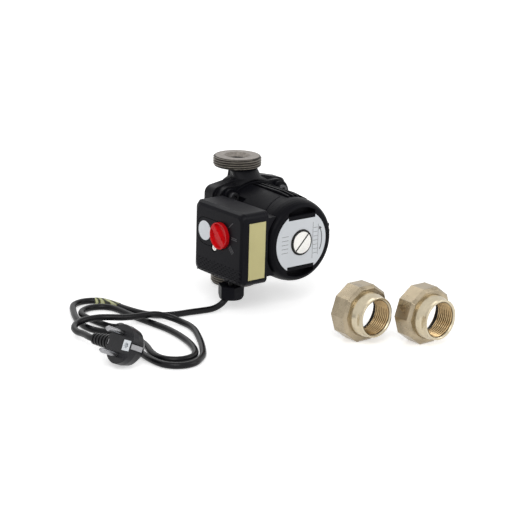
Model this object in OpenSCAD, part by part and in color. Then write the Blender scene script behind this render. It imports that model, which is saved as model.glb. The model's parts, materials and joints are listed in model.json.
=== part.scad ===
// Circulation pump for a heating circuit: cast iron volute with two screwed ports,
// a wet-rotor motor with a terminal box, its mains lead and plug, and two pipe unions.
// The origin is the centre of the lower port's sealing face. +Z runs up the pipe axis
// to the upper port. The motor axis runs along -Y. The terminal box is on the -X side.

/* [Ports] */
// Distance between the two port faces
port_span = 130; // [120:1:200]
// Outside radius of the port collars
collar_r = 23.9; // [20:0.1:30]
// Height of each port collar
collar_h = 10.5; // [8:0.5:16]
// Chamfer on the inner edge of each collar
collar_bevel = 1.5; // [0:0.1:3]
// Radius of the mouth at the port face
mouth_r = 13; // [9:0.5:18]
// Depth of the tapered mouth
mouth_depth = 4.5; // [2:0.5:8]
// Radius of the water passages
passage_r = 8.5; // [5:0.5:12]
// Radius of the necks behind the collars
neck_r = 16.5; // [14:0.5:20]

/* [Volute housing] */
// How far the rear block's sides stand out past the barrel
block_stand = 3; // [0:0.5:8]
// Corner radius of the rear block
block_corner = 8; // [2:0.5:20]
// Distance of the rear block's back face in front of the pipe axis
block_back = 7; // [0:0.5:12]
// Back face of the flange in front of the pipe axis
flange_back = 20; // [15:0.5:30]
// Front face of the flange in front of the pipe axis
flange_front = 27; // [22:0.5:40]
// How much lower than wide the housing flange is at its corners
flange_drop = 2; // [0:0.5:6]
// Corner radius of the flange
flange_corner = 16; // [8:0.5:24]
// How far the shoulder beside the upper neck stands above the rear block
shoulder_stand = 5; // [0:0.5:10]
// How much smaller than the barrel the rounded back of the volute is
bulge_inset = 4; // [1:0.5:10]
// How far the rounded back reaches behind the pipe axis
bulge_back = 6; // [2:0.5:16]
// How much the volute chamber grows along its spiral
volute_growth = 4.5; // [1:0.5:8]
// Back of the volute chamber in front of the pipe axis
chamber_back = 10; // [8:0.5:14]
// Radius of the suction eye
eye_r = 10; // [6:0.5:12]

/* [Motor] */
// How far the motor flange stands out past the barrel
motor_flange_stand = 2.5; // [1:0.5:6]
// Thickness of the motor flange
motor_flange_t = 3.5; // [2:0.5:8]
// Radius of the smooth barrel at the flange
barrel_r = 42; // [38:0.5:50]
// How much the barrel narrows towards the cap
barrel_taper = 1.7; // [0:0.1:4]
// Front end of the barrel in front of the pipe axis
barrel_end = 84; // [70:1:110]
// How far below the barrel the fins have their root
fin_root_inset = 4.6; // [2:0.1:6]
// How far the fins stand out past the barrel by the flange
fin_stand = 1; // [0:0.1:4]
// How far the fin tips lie below the barrel by the cap
fin_end_inset = 0.5; // [0:0.1:1.2]
// Thickness of a fin
fin_t = 2; // [1:0.1:4]
// Number of fins
fin_count = 24; // [12:1:40]
// Angle between two fins
fin_pitch = 8; // [5:0.5:15]
// How far the five long fins stand out past the barrel
long_fin_stand = 2.5; // [0.5:0.1:6]
// How far the five long fins reach along the cap
long_fin_reach = 9; // [4:0.5:14]
// Radius of a flange screw
screw_r = 2.9; // [2:0.1:5]
// Radius of a flange screw's head
screw_head_r = 5; // [4:0.1:8]

/* [End cap] */
// Length of the cap
cap_len = 17; // [14:0.5:30]
// How much smaller than the barrel the cap is
cap_inset = 1.6; // [1.2:0.1:4]
// How much smaller than the cap its flat front is
cap_face_inset = 5.9; // [2:0.1:10]
// Length of the rounded part of the cap
cap_round = 14.8; // [5:0.1:16]
// Width of the rim round the front plate
plate_inset = 4.2; // [2:0.1:8]
// Thickness of the front plate
plate_t = 0.5; // [0.3:0.1:1]
// Half width of the notches in the front plate
notch_half_w = 16.5; // [10:0.5:20]
// How far the front plate's notches reach in from its edge
notch_inset = 7.7; // [4:0.1:10]
// Width of the pockets in the cap
pocket_w = 7.5; // [4:0.5:9]
// Depth of the pockets in the cap
pocket_depth = 7; // [2:0.5:9]
// Radius of the vent screw's head
vent_r = 10.6; // [6:0.1:14]
// Inner radius of the ring round the vent screw
vent_ring_in = 10.8; // [6:0.1:15]
// Outer radius of the ring round the vent screw
vent_ring_r = 12.6; // [8:0.1:16]
// Width of the screwdriver slot
vent_slot_w = 1.6; // [1:0.1:3]
// Turn of the screwdriver slot from level
vent_slot_turn = 46; // [0:1:90]

/* [Rotor and stator] */
// Radius of the shaft
shaft_r = 4; // [2:0.1:6]
// Radial clearance of the shaft in its bearings
running_gap = 0.05; // [0.01:0.01:0.1]
// Gap between the rotor and its can
rotor_gap = 0.7; // [0.3:0.1:2]
// Wall of the rotor can
can_wall = 0.7; // [0.3:0.1:2]
// Wall and air between the stator core and the outside of the barrel
core_inset = 9; // [6:0.5:12]
// Number of slots in the stator core
slot_count = 12; // [6:1:24]
// Gap between the impeller and the start of the spiral
impeller_gap = 1.5; // [1:0.5:4]
// Number of impeller vanes
vane_count = 6; // [4:1:9]
// Thickness of an impeller vane
vane_t = 1.4; // [0.8:0.1:3]

/* [Terminal box] */
// Depth of the cover, from the motor side to its face
cover_depth = 27; // [16:0.5:40]
// Distance of the cover's face from the barrel
cover_stand = 30; // [29:0.5:45]
// Gap between the housing flange and the box
box_gap = 0.4; // [0.2:0.1:2]
// How far the box reaches past the cap
box_reach = 2.2; // [0:0.1:6]
// How far the box reaches below the motor axis
box_below = 33.6; // [30:0.1:44]
// How far the box reaches above the motor axis
box_above = 36.6; // [32:0.1:50]
// Corner radius of the box
box_corner = 6; // [2:0.5:12]
// Bevel round the cover's face
cover_bevel = 4.5; // [1:0.5:8]
// Wall of the cover
cover_wall = 2.5; // [1.5:0.1:4]
// Half height of the neck between the box and the motor
box_neck_half_h = 28.5; // [20:0.5:34]

/* [Speed knob] */
// Position of the knob in front of the pipe axis
knob_d = 69.5; // [50:0.5:90]
// Height of the knob above the motor axis
knob_above = 10; // [0:0.5:20]
// Radius of the knob
knob_r = 12.7; // [8:0.1:16]
// How far the knob stands out of the cover
knob_out = 4; // [2:0.1:8]

/* [Mains lead] */
// Diameter of the mains lead
cord_d = 6; // [4:0.1:9]
// Sides of the mains lead's section
cord_sides = 8; // [6:1:16]
// Steps between two points of the lead's route
cord_steps = 2; // [1:1:4]
// Width across the flats of the gland nut
gland_af = 22; // [16:0.5:30]
// Turn of the gland nut
gland_turn = 6; // [0:1:30]
// Share of the box's height above the floor that the gland nut takes
gland_share = 0.618; // [0.4:0.001:0.7]

/* [Plug] */
// Radius of the plug's face
plug_r = 17.5; // [16:0.1:20]
// Radius of a plug pin
pin_r = 2.4; // [2:0.1:3]
// Length of a plug pin
pin_len = 19; // [15:0.5:22]
// Half the distance between the plug pins
pin_half = 9.5; // [8:0.1:11]
// Angle at which the pins rise from level
plug_tilt = 26; // [0:1:60]
// Turn of the plug about its pins
plug_turn = 8; // [-20:1:20]

/* [Unions] */
// Width across the flats of a union nut
nut_af = 52; // [44:0.5:60]
// Number of flats on a union nut
nut_flat_count = 10; // [6:2:12]
// Length of a union nut
nut_len = 18.5; // [14:0.5:26]
// Wall of the nut behind its thread, at the flats
nut_rim = 3.5; // [2.5:0.1:8]
// How much smaller than the nut's hole the tailpiece's mouth is
tail_inset = 2; // [0.5:0.1:4]
// How far the tailpiece stands out of the nut
tail_out = 13; // [8:0.5:30]
// Wall of the tailpiece inside its mouth
tail_wall = 3.55; // [2:0.05:6]
// Sideways position of the first union
union_a_x = -12.5; // [-60:0.5:200]
// Distance of the first union's nut face in front of the pipe axis
union_a_d = 211; // [150:1:300]
// How far the second union stands to the side of the first
union_step_x = 43.5; // [43:0.5:120]
// How far the second union stands in front of the first
union_step_d = 37; // [0:1:100]

/* [Hidden] */
$fn = 64;
overrun = 0.5;
fit_gap = 0.1;
hull_fn = 32;

// Heights and radii that follow the port distance and the barrel
axis_z = 0.5 * port_span;
motor_flange_r = barrel_r + motor_flange_stand;
barrel_end_r = barrel_r - barrel_taper;
block_half_w = barrel_r + block_stand;
block_half_h = barrel_r;
flange_half_w = motor_flange_r;
flange_half_h = flange_half_w - flange_drop;
shoulder_h = block_half_h + shoulder_stand;
bulge_r = barrel_r - bulge_inset;
counter_inset = 4.5;
counter_r = barrel_r - counter_inset;
counter_lip = 1.5;
volute_end_r = counter_r - counter_lip;
volute_start_r = volute_end_r - volute_growth;
impeller_r = volute_start_r - impeller_gap;
gasket_in = counter_r + fit_gap;
gasket_w = 2.8;
gasket_r = gasket_in + gasket_w;
fin_root_r = barrel_r - fin_root_inset;
fin_tip_r = barrel_r + fin_stand;
fin_tip_end_r = barrel_r - fin_end_inset;
long_fin_r = barrel_r + long_fin_stand;
cap_r = barrel_r - cap_inset;
cap_face_r = cap_r - cap_face_inset;
plate_r = cap_face_r - plate_inset;
notch_dz = plate_r - notch_inset;
pocket_edge = 0.5;
pocket_r = cap_face_r - pocket_edge;
pocket_dz = pocket_r - pocket_w;
core_r = barrel_r - core_inset;
rotor_share = 0.5;
rotor_r = rotor_share * core_r;
can_r = rotor_r + rotor_gap;
screw_shares = [5 / 7, 11 / 14];
screw_x = screw_shares[0] * barrel_r;
screw_dz = screw_shares[1] * barrel_r;

// Depths in front of the pipe axis
cap_front = barrel_end + cap_len;
long_fin_end = barrel_end + long_fin_reach;
plate_depth = 4;
plate_back = flange_front - plate_depth;
can_flange_front = flange_front;
seat_step = 1;
seat_depth = flange_front - seat_step;
can_reach = 2;
can_end = barrel_end + can_reach;
can_end_t = 1.5;
boss_r = 11;
boss_bore_r = 8;
boss_dip = 2.5;
boss_end = cap_front - boss_dip;
core_from = 11;
core_to = 12;
core_back = flange_front + core_from;
core_front = barrel_end - core_to;
shaft_back = 11;
shaft_reach = 5;
shaft_front = can_end + shaft_reach;
shroud_t = 1.2;
suction_d = 12;
hub_d = 17;
head_seat = flange_front + motor_flange_t + 0.5 * shroud_t;
head_h = 5;
screw_end = 14;

// Shares of the cap's rounding: depth share and radius share
round_shares = [[0, 0], [0.25, 0.03], [0.5, 0.134], [0.7, 0.286], [0.85, 0.473],
  [0.95, 0.688], [1, 1]];

// Terminal box
cover_face_x = barrel_r + cover_stand;
box_back = flange_front + box_gap;
box_front = cap_front + box_reach;
box_low = axis_z - box_below;
box_high = axis_z + box_above;
box_part_x = cover_face_x - cover_depth;
base_step = 2;
base_step_x = barrel_r - base_step;
gland_stand = 16.5;
gland_x = barrel_r + gland_stand;
gland_d = 70;
gland_low = (1 - gland_share) * box_low;
knob_z = axis_z + knob_above;
sticker_d = 44.5;
sticker_above = 9.3;
sticker_z = axis_z + sticker_above;
sticker_r = 9.4;
film_t = 0.3;
cover_screw_d = 60;
cover_screw_below = 4;
cover_screw_z = axis_z - cover_screw_below;

// Unions
nut_bore_r = 0.5 * nut_af - nut_rim;
nut_hole_step = 1.8;
nut_hole_r = nut_bore_r - nut_hole_step;
tail_r = nut_hole_r - tail_inset;
tail_bore_r = tail_r - tail_wall;
union_b_x = union_a_x + union_step_x;
union_b_d = union_a_d + union_step_d;

// Places the children on the motor axis: local z is the distance in front of the pipe axis
module motor() {
  translate([0, 0, axis_z]) rotate([90, 0, 0]) children();
}

module tube(r_out, r_in, from, to) {
  difference() {
    translate([0, 0, from]) cylinder(r = r_out, h = to - from);
    translate([0, 0, from - overrun]) cylinder(r = r_in, h = to - from + 2 * overrun);
  }
}

module rounded_rect(half_w, half_h, corner) {
  square([2 * half_w, 2 * (half_h - corner)], center = true);
  square([2 * (half_w - corner), 2 * half_h], center = true);
  for (sx = [-1, 1], sy = [-1, 1])
    translate([sx * (half_w - corner), sy * (half_h - corner)]) circle(r = corner);
}

module at_screws() {
  for (sx = [-1, 1], sy = [-1, 1]) translate([sx * screw_x, sy * screw_dz, 0]) children();
}

// Cast iron volute housing
neck_lean = 12.5;
neck_drop = 19;
neck_mid_z = port_span - neck_drop;
neck_top_z = port_span - collar_h;
lean_start_z = 16;
lean_end_d = 18;
lean_dip = 7;
lean_end_z = port_span - axis_z - volute_end_r + lean_dip;
fillet_h = 2.5;
volute_cuts = 2;
ring_seat = 7;
ring_seat_r = 13.5;

module collar_solid() {
  cylinder(r = collar_r, h = collar_h - collar_bevel);
  translate([0, 0, collar_h - collar_bevel])
    cylinder(r1 = collar_r, r2 = collar_r - collar_bevel, h = collar_bevel);
  translate([0, 0, collar_h - fit_gap])
    cylinder(r1 = neck_r + fillet_h, r2 = neck_r - fit_gap, h = fillet_h);
}

module neck_slab(half_w, from_d, to_d, at_z) {
  translate([-half_w, -to_d, at_z]) cube([2 * half_w, to_d - from_d, overrun]);
}

module pump_housing() {
  color([0.13, 0.13, 0.14]) difference() {
    union() {
      collar_solid();
      translate([0, 0, port_span]) mirror([0, 0, 1]) collar_solid();
      translate([0, 0, collar_h]) cylinder(r = neck_r, h = axis_z - collar_h);
      translate([0, 0, axis_z])
        cylinder(r = neck_r - collar_bevel, h = neck_top_z - axis_z);
      hull() {
        translate([0, -collar_bevel, neck_top_z - overrun])
          cylinder(r = neck_r + collar_bevel, h = overrun, $fn = hull_fn);
        translate([0, -neck_lean, neck_mid_z])
          cylinder(r = neck_r - overrun, h = overrun, $fn = hull_fn);
      }
      difference() {
        hull() {
          translate([0, -neck_lean, neck_mid_z])
            cylinder(r = neck_r - overrun, h = overrun, $fn = hull_fn);
          neck_slab(1.4 * neck_r, block_back, flange_front - overrun,
            axis_z + flange_half_h - 2 * collar_bevel);
        }
        motor() translate([0, 0, flange_front - 2 * overrun])
          cylinder(r = motor_flange_r + ring_gap, h = motor_flange_t + 2 * overrun);
      }
      motor() {
        translate([0, 0, block_back]) linear_extrude(flange_back - block_back)
          rounded_rect(block_half_w, block_half_h, block_corner);
        translate([0, 0, flange_back]) linear_extrude(flange_front - flange_back)
          rounded_rect(flange_half_w, flange_half_h, flange_corner);
        translate([0, 0, flange_back]) cylinder(r = flange_half_w,
          h = flange_front - flange_back);
        translate([0, 0, block_back]) linear_extrude(flange_back - block_back)
          polygon([[-0.88 * block_half_w, 0], [-0.88 * block_half_w, block_half_h - overrun],
            [-neck_r, shoulder_h], [neck_r, shoulder_h],
            [0.88 * block_half_w, block_half_h - overrun], [0.88 * block_half_w, 0]]);
        rotate_extrude() polygon([[0, -bulge_back], [0.6 * bulge_r, -bulge_back],
          [0.8 * bulge_r, -0.6 * bulge_back], [0.94 * bulge_r, 0.2 * bulge_back],
          [bulge_r, block_back], [bulge_r, chamber_back], [0, chamber_back]]);
      }
    }
    for (up = [0, 1]) translate([0, 0, up * port_span]) mirror([0, 0, up]) {
      translate([0, 0, -overrun])
        cylinder(r1 = mouth_r + overrun, r2 = mouth_r, h = overrun);
      cylinder(r1 = mouth_r, r2 = passage_r - fit_gap, h = mouth_depth);
    }
    translate([0, 0, overrun]) cylinder(r = passage_r, h = axis_z - overrun);
    translate([0, 0, port_span - lean_start_z - passage_r])
      cylinder(r = passage_r, h = lean_start_z + passage_r - overrun);
    translate([0, 0, port_span - lean_start_z])
      rotate([180 - atan2(lean_end_d, lean_end_z - lean_start_z), 0, 0])
        cylinder(r = passage_r, h = norm([lean_end_d, lean_end_z - lean_start_z]));
    motor() {
      cylinder(r = eye_r, h = chamber_back + overrun);
      translate([0, 0, ring_seat]) cylinder(r = ring_seat_r, h = chamber_back - ring_seat
        + overrun);
      for (i = [0 : volute_cuts]) let (share = i / volute_cuts)
        rotate([0, 0, 100 + 200 * share]) translate([(1 - share) * (volute_end_r
          - volute_start_r), 0, chamber_back])
          cylinder(r = volute_start_r, h = plate_back - chamber_back + overrun);
      translate([0, 0, plate_back]) cylinder(r = counter_r, h = flange_front - plate_back
        + overrun);
      translate([0, 0, seat_depth]) cylinder(r = gasket_r + fit_gap,
        h = flange_front - seat_depth + overrun);
      at_screws() translate([0, 0, screw_end - overrun])
        cylinder(r = screw_r, h = flange_front - screw_end + 2 * overrun);
    }
  }
}

module housing_gasket() {
  color([0.25, 0.26, 0.25]) motor() tube(gasket_r, gasket_in, seat_depth, flange_front);
}

// Motor body: flange, smooth barrel on the box side and cooling fins on the other side
barrel_in = core_r + fit_gap;
groove_r = 6;
groove_reach = 19;
groove_end = flange_front + groove_reach;
ear_r = 8;
wire_hole_r = 5;
wire_hole_d = 55;
wire_hole_z = axis_z;
fin_nose = 2;

module fin(tip, tip_end, end) {
  rotate([90, 0, 0]) translate([0, 0, -0.5 * fin_t]) linear_extrude(fin_t)
    polygon([[fin_root_r - fin_t, flange_front + overrun], [tip, flange_front + overrun],
      [tip, end - 8 * fin_nose], [tip_end, end - fin_nose], [tip_end - fin_nose, end],
      [cap_r + fit_gap, end], [cap_r + fit_gap, barrel_end],
      [fin_root_r - fin_t, barrel_end]]);
}

module short_fin() {
  rotate([90, 0, 0]) translate([0, 0, -0.5 * fin_t]) linear_extrude(fin_t)
    polygon([[fin_root_r - fin_t, flange_front + overrun],
      [fin_tip_r, flange_front + overrun], [fin_tip_r, barrel_end - 8 * fin_nose],
      [fin_tip_end_r, barrel_end - fin_nose], [fin_tip_end_r - fin_nose, barrel_end],
      [fin_root_r - fin_t, barrel_end]]);
}

module stator_housing() {
  color([0.1, 0.1, 0.11]) motor() difference() {
    union() {
      translate([0, 0, flange_front]) cylinder(r = motor_flange_r, h = motor_flange_t);
      at_screws() translate([0, 0, flange_front])
        cylinder(r = ear_r, h = head_seat - flange_front);
      translate([0, 0, flange_front]) cylinder(r1 = fin_root_r + overrun, r2 = fin_root_r,
        h = barrel_end - flange_front);
      rotate([0, 0, 95]) rotate_extrude(angle = 170)
        polygon([[fin_root_r - fin_t, flange_front + overrun], [barrel_r, flange_front
          + overrun], [barrel_end_r, barrel_end], [fin_root_r - fin_t, barrel_end]]);
      for (i = [0 : fin_count - 1]) rotate([0, 0, 92 - fin_pitch * i])
        if (i >= 10 && i <= 14) fin(long_fin_r, long_fin_r, long_fin_end);
        else short_fin();
    }
    translate([0, 0, flange_front - overrun])
      cylinder(r = barrel_in, h = barrel_end - flange_front + 2 * overrun);
    at_screws() {
      translate([0, 0, flange_front - overrun])
        cylinder(r = screw_r + fit_gap, h = head_h + 2 * overrun);
      translate([0, 0, head_seat]) cylinder(r = groove_r, h = groove_end - head_seat);
    }
    translate([0, 0, wire_hole_d]) rotate([0, -90, 0])
      cylinder(r = wire_hole_r, h = barrel_r + overrun);
  }
}

socket_r = 2.9;
socket_depth = 3;

module housing_screws() {
  color([0.2, 0.2, 0.21]) motor() at_screws() {
    translate([0, 0, screw_end]) cylinder(r = screw_r, h = head_seat - screw_end);
    difference() {
      translate([0, 0, head_seat]) cylinder(r = screw_head_r, h = head_h);
      translate([0, 0, head_seat + head_h - socket_depth])
        cylinder(r = socket_r, h = socket_depth + overrun, $fn = 6);
    }
  }
}

// Stator: slotted core, windings with their end turns
core_gap = 1.2;
core_in = can_r + can_wall + core_gap;
slot_from = 2.4;
slot_to = 4;
slot_in = core_in + slot_from;
slot_out = core_r - slot_to;
slot_w = 5.6;
turn_over = 1.5;
winding_gap = 0.4;
end_turn = 5;

module stator_core() {
  color([0.55, 0.56, 0.58]) motor() difference() {
    tube(core_r, core_in, core_back, core_front);
    for (i = [0 : slot_count - 1]) rotate([0, 0, 360 * i / slot_count])
      translate([slot_in, -0.5 * slot_w, core_back - overrun])
        cube([slot_out - slot_in, slot_w, core_front - core_back + 2 * overrun]);
  }
}

module stator_windings() {
  color([0.72, 0.38, 0.2]) motor() {
    tube(slot_out + turn_over, core_in + fit_gap, core_back - end_turn, core_back);
    tube(slot_out + turn_over, core_in + fit_gap, core_front, core_front + end_turn);
    for (i = [0 : slot_count - 1]) rotate([0, 0, 360 * i / slot_count])
      translate([slot_in + winding_gap, -0.5 * slot_w + winding_gap, core_back])
        cube([slot_out - slot_in - 2 * winding_gap, slot_w - 2 * winding_gap,
          core_front - core_back]);
  }
}

// Rotor can: a thin tube with a flange and a hollow boss behind the vent screw
can_flange_gap = 0.5;
can_flange_r = counter_r - can_flange_gap;

module rotor_can() {
  color([0.75, 0.76, 0.78]) motor() difference() {
    union() {
      translate([0, 0, seat_depth])
        cylinder(r = can_flange_r, h = can_flange_front - seat_depth);
      translate([0, 0, seat_depth]) cylinder(r = can_r + can_wall,
        h = can_end + can_end_t - seat_depth);
      translate([0, 0, can_end]) cylinder(r = boss_r, h = boss_end - can_end);
    }
    translate([0, 0, seat_depth - overrun]) cylinder(r = can_r,
      h = can_end - seat_depth + overrun);
    translate([0, 0, can_end - overrun]) cylinder(r = boss_bore_r,
      h = boss_end - can_end + 2 * overrun);
  }
}

front_bearing_r = 6;
front_bearing_from = 7;
front_bearing_to = 3;
front_bearing_back = flange_front - front_bearing_from;
front_bearing_front = flange_front + front_bearing_to;
rear_bearing_len = 6;
rear_bearing_back = can_end - rear_bearing_len;

module bearing_plate() {
  color([0.8, 0.8, 0.81]) motor() tube(counter_r - fit_gap, front_bearing_r, plate_back,
    seat_depth);
}

rotor_over = 2;
rotor_back = core_back - rotor_over;
rotor_front = core_front + rotor_over;

module rotor_core() {
  color([0.5, 0.5, 0.52]) motor() tube(rotor_r, shaft_r, rotor_back, rotor_front);
}

shaft_slot_w = 1.2;
shaft_slot_depth = 1.5;

module shaft() {
  color([0.92, 0.92, 0.88]) motor() difference() {
    translate([0, 0, shaft_back]) cylinder(r = shaft_r, h = shaft_front - shaft_back);
    translate([-shaft_r - overrun, -0.5 * shaft_slot_w, shaft_front - shaft_slot_depth])
      cube([2 * (shaft_r + overrun), shaft_slot_w, shaft_slot_depth + overrun]);
  }
}

module front_bearing() {
  color([0.2, 0.2, 0.2]) motor()
    tube(front_bearing_r, shaft_r + running_gap, front_bearing_back, front_bearing_front);
}

module rear_bearing() {
  color([0.2, 0.2, 0.2]) motor()
    tube(can_r, shaft_r + running_gap, rear_bearing_back, can_end);
}

thrust_r = 7.5;
thrust_back = 18.6;
thrust_front = 19.6;

module thrust_ring() {
  color([0.3, 0.3, 0.32]) motor() tube(thrust_r, shaft_r, thrust_back, thrust_front);
}

// Closed impeller with backward-curved vanes and a short suction neck
suction_neck_r = 11;
suction_neck_in = 9.5;
suction_neck_back = 9;
vane_arc_r = 19;
vane_arc_shift = 15;

module impeller() {
  color([0.85, 0.82, 0.72]) motor() {
    tube(suction_neck_r, suction_neck_in, suction_neck_back, suction_d + overrun);
    tube(impeller_r, suction_neck_in, suction_d, suction_d + shroud_t);
    tube(impeller_r, shaft_r, hub_d, hub_d + shroud_t);
    tube(thrust_r, shaft_r, suction_d + shroud_t, thrust_back);
    translate([0, 0, suction_d + 0.5 * shroud_t])
      linear_extrude(hub_d - suction_d) for (i = [0 : vane_count - 1])
        rotate(360 * i / vane_count) intersection() {
          difference() {
            circle(r = impeller_r - fit_gap);
            circle(r = suction_neck_in + overrun);
          }
          translate([vane_arc_shift, 0]) difference() {
            circle(r = vane_arc_r);
            circle(r = vane_arc_r - vane_t);
          }
          translate([0, impeller_r]) square(2 * impeller_r, center = true);
        }
  }
}

ring_gap = 0.3;

module neck_ring() {
  color([0.78, 0.78, 0.76]) motor()
    tube(ring_seat_r, suction_neck_r + ring_gap, ring_seat, suction_d - overrun);
}

// End cap of the motor
cap_hollow_r = core_r;
cap_hollow_depth = 8.5;
cap_hollow_end = barrel_end + cap_hollow_depth;

function cap_profile() = concat([[0, barrel_end], [cap_r, barrel_end]],
  [for (s = round_shares) [cap_r - (cap_r - cap_face_r) * s[1],
    cap_front - cap_round * (1 - s[0])]], [[0, cap_front]]);

module cap_pocket() {
  difference() {
    translate([0, 0, cap_front - pocket_depth])
      cylinder(r = pocket_r, h = pocket_depth + overrun);
    translate([-cap_r, -cap_r, cap_front - pocket_depth - overrun])
      cube([2 * cap_r, cap_r + pocket_dz, pocket_depth + 3 * overrun]);
    for (s = [0, 1]) mirror([s, 0, 0])
      translate([notch_half_w, -cap_r, cap_front - pocket_depth - overrun])
        cube([cap_r, 2 * cap_r, pocket_depth + 3 * overrun]);
  }
}

module motor_end_cap() {
  color([0.1, 0.1, 0.11]) motor() difference() {
    rotate_extrude() polygon(cap_profile());
    translate([0, 0, barrel_end - overrun])
      cylinder(r = cap_hollow_r, h = cap_hollow_end - barrel_end + overrun);
    translate([0, 0, barrel_end]) cylinder(r = boss_r + fit_gap, h = cap_front - barrel_end);
    translate([0, 0, boss_end]) cylinder(r = vent_ring_r, h = cap_front - boss_end + overrun);
    cap_pocket();
    mirror([0, 1, 0]) cap_pocket();
  }
}

module name_plate() {
  color([0.93, 0.93, 0.92]) motor() difference() {
    tube(plate_r, vent_ring_r + fit_gap, cap_front, cap_front + plate_t);
    for (s = [0, 1]) mirror([0, s, 0])
      translate([-notch_half_w, notch_dz, cap_front - overrun])
        cube([2 * notch_half_w, plate_r, plate_t + 2 * overrun]);
  }
}

vent_sink = 2.1;
vent_head_back = cap_front - vent_sink;
vent_head_front = cap_front + vent_sink - fit_gap;
vent_shank_len = 6.4;
vent_shank_back = vent_head_back - vent_shank_len;
vent_slot_depth = 1.5;
vent_ring_out = 1;
vent_ring_front = cap_front + vent_ring_out;

module vent_screw() {
  color([0.82, 0.82, 0.8]) motor() difference() {
    union() {
      translate([0, 0, vent_head_back])
        cylinder(r = vent_r, h = vent_head_front - vent_head_back);
      translate([0, 0, vent_shank_back])
        cylinder(r = boss_bore_r - running_gap, h = vent_head_back - vent_shank_back);
    }
    rotate([0, 0, vent_slot_turn]) translate([-0.5 * vent_slot_w - vent_r,
      -0.5 * vent_slot_w, vent_head_front - vent_slot_depth])
      cube([2 * vent_r + vent_slot_w, vent_slot_w, vent_slot_depth + overrun]);
  }
}

module vent_seal() {
  color([0.07, 0.07, 0.07]) motor() tube(vent_ring_r, vent_ring_in, boss_end,
    vent_ring_front);
}

// Terminal box: base on the motor and a deep cover
box_mid_d = 0.5 * (box_back + box_front);
box_half_d = 0.5 * (box_front - box_back);
box_mid_z = 0.5 * (box_low + box_high);
box_half_z = 0.5 * (box_high - box_low);
base_wall = 2.5;
neck_from = 4;
neck_to = 3;
neck_back = flange_front + neck_from;
neck_front = cap_front - neck_to;
base_below = 28;
base_above = 29.5;
base_low = axis_z - base_below;
base_high = axis_z + base_above;
base_bed = 18;
base_bed_x = barrel_r - base_bed;

// Places the children on a level of the box: local z runs away from the motor,
// local x runs up and local y runs back
module box_level(at_x, at_d, at_z) {
  translate([-at_x, -at_d, at_z]) rotate([0, -90, 0]) children();
}

module box_plate(at_x, t, inset) {
  box_level(at_x, box_mid_d, box_mid_z) linear_extrude(t)
    rounded_rect(box_half_z - inset, box_half_d - inset, box_corner - 0.5 * inset);
}

module hull_plate(at_x, inset) {
  box_level(at_x, box_mid_d, box_mid_z)
    for (sx = [-1, 1], sy = [-1, 1])
      translate([sx * (box_half_z - inset - box_corner), sy * (box_half_d - inset
        - box_corner), 0]) cylinder(r = box_corner, h = overrun, $fn = hull_fn);
}

module terminal_box_base() {
  color([0.1, 0.1, 0.11]) difference() {
    union() {
      box_plate(box_part_x - base_wall, base_wall, 0);
      hull() {
        hull_plate(box_part_x - base_wall, 0);
        translate([-base_step_x, -neck_front, base_low])
          cube([overrun, neck_front - neck_back, base_high - base_low]);
      }
      translate([-base_step_x - overrun, -neck_front, axis_z - box_neck_half_h])
        cube([base_step_x - base_bed_x + overrun, neck_front - neck_back,
          2 * box_neck_half_h]);
    }
    motor() {
      translate([0, 0, flange_front]) cylinder(r1 = barrel_r + fit_gap,
        r2 = barrel_end_r + fit_gap, h = barrel_end - flange_front);
      translate([0, 0, barrel_end - overrun]) cylinder(r = cap_r + fit_gap,
        h = cap_front - barrel_end);
      translate([0, 0, flange_front - overrun]) cylinder(r = motor_flange_r + ring_gap,
        h = motor_flange_t + overrun + fit_gap);
      at_screws() {
        translate([0, 0, flange_front - overrun]) cylinder(r = ear_r + fit_gap,
          h = head_seat - flange_front + overrun + fit_gap);
        translate([0, 0, flange_front]) cylinder(r = groove_r,
          h = head_seat + head_h - flange_front + overrun);
      }
    }
    box_level(base_bed_x, wire_hole_d, wire_hole_z)
      cylinder(r = wire_hole_r, h = box_part_x);
    box_level(box_part_x - 2 * base_wall, cover_screw_d, cover_screw_z)
      cylinder(r = cover_screw_r, h = cover_depth);
  }
}

cover_screw_r = 1.6;
cover_screw_head_r = 3;
cover_recess_r = 4.5;
cover_recess_depth = 1.8;
cover_post_r = 4;
gland_hole_r = 8;
knob_hole_r = 9;
groove_band = 0.7;
groove_depth = 0.6;
capsule_r = 13.4;
knob_dish = 0.8;

module capsule(r) {
  hull() {
    translate([sticker_z, -sticker_d - overrun]) circle(r = r, $fn = hull_fn);
    translate([sticker_z, -knob_d + overrun]) circle(r = r, $fn = hull_fn);
  }
}

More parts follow.
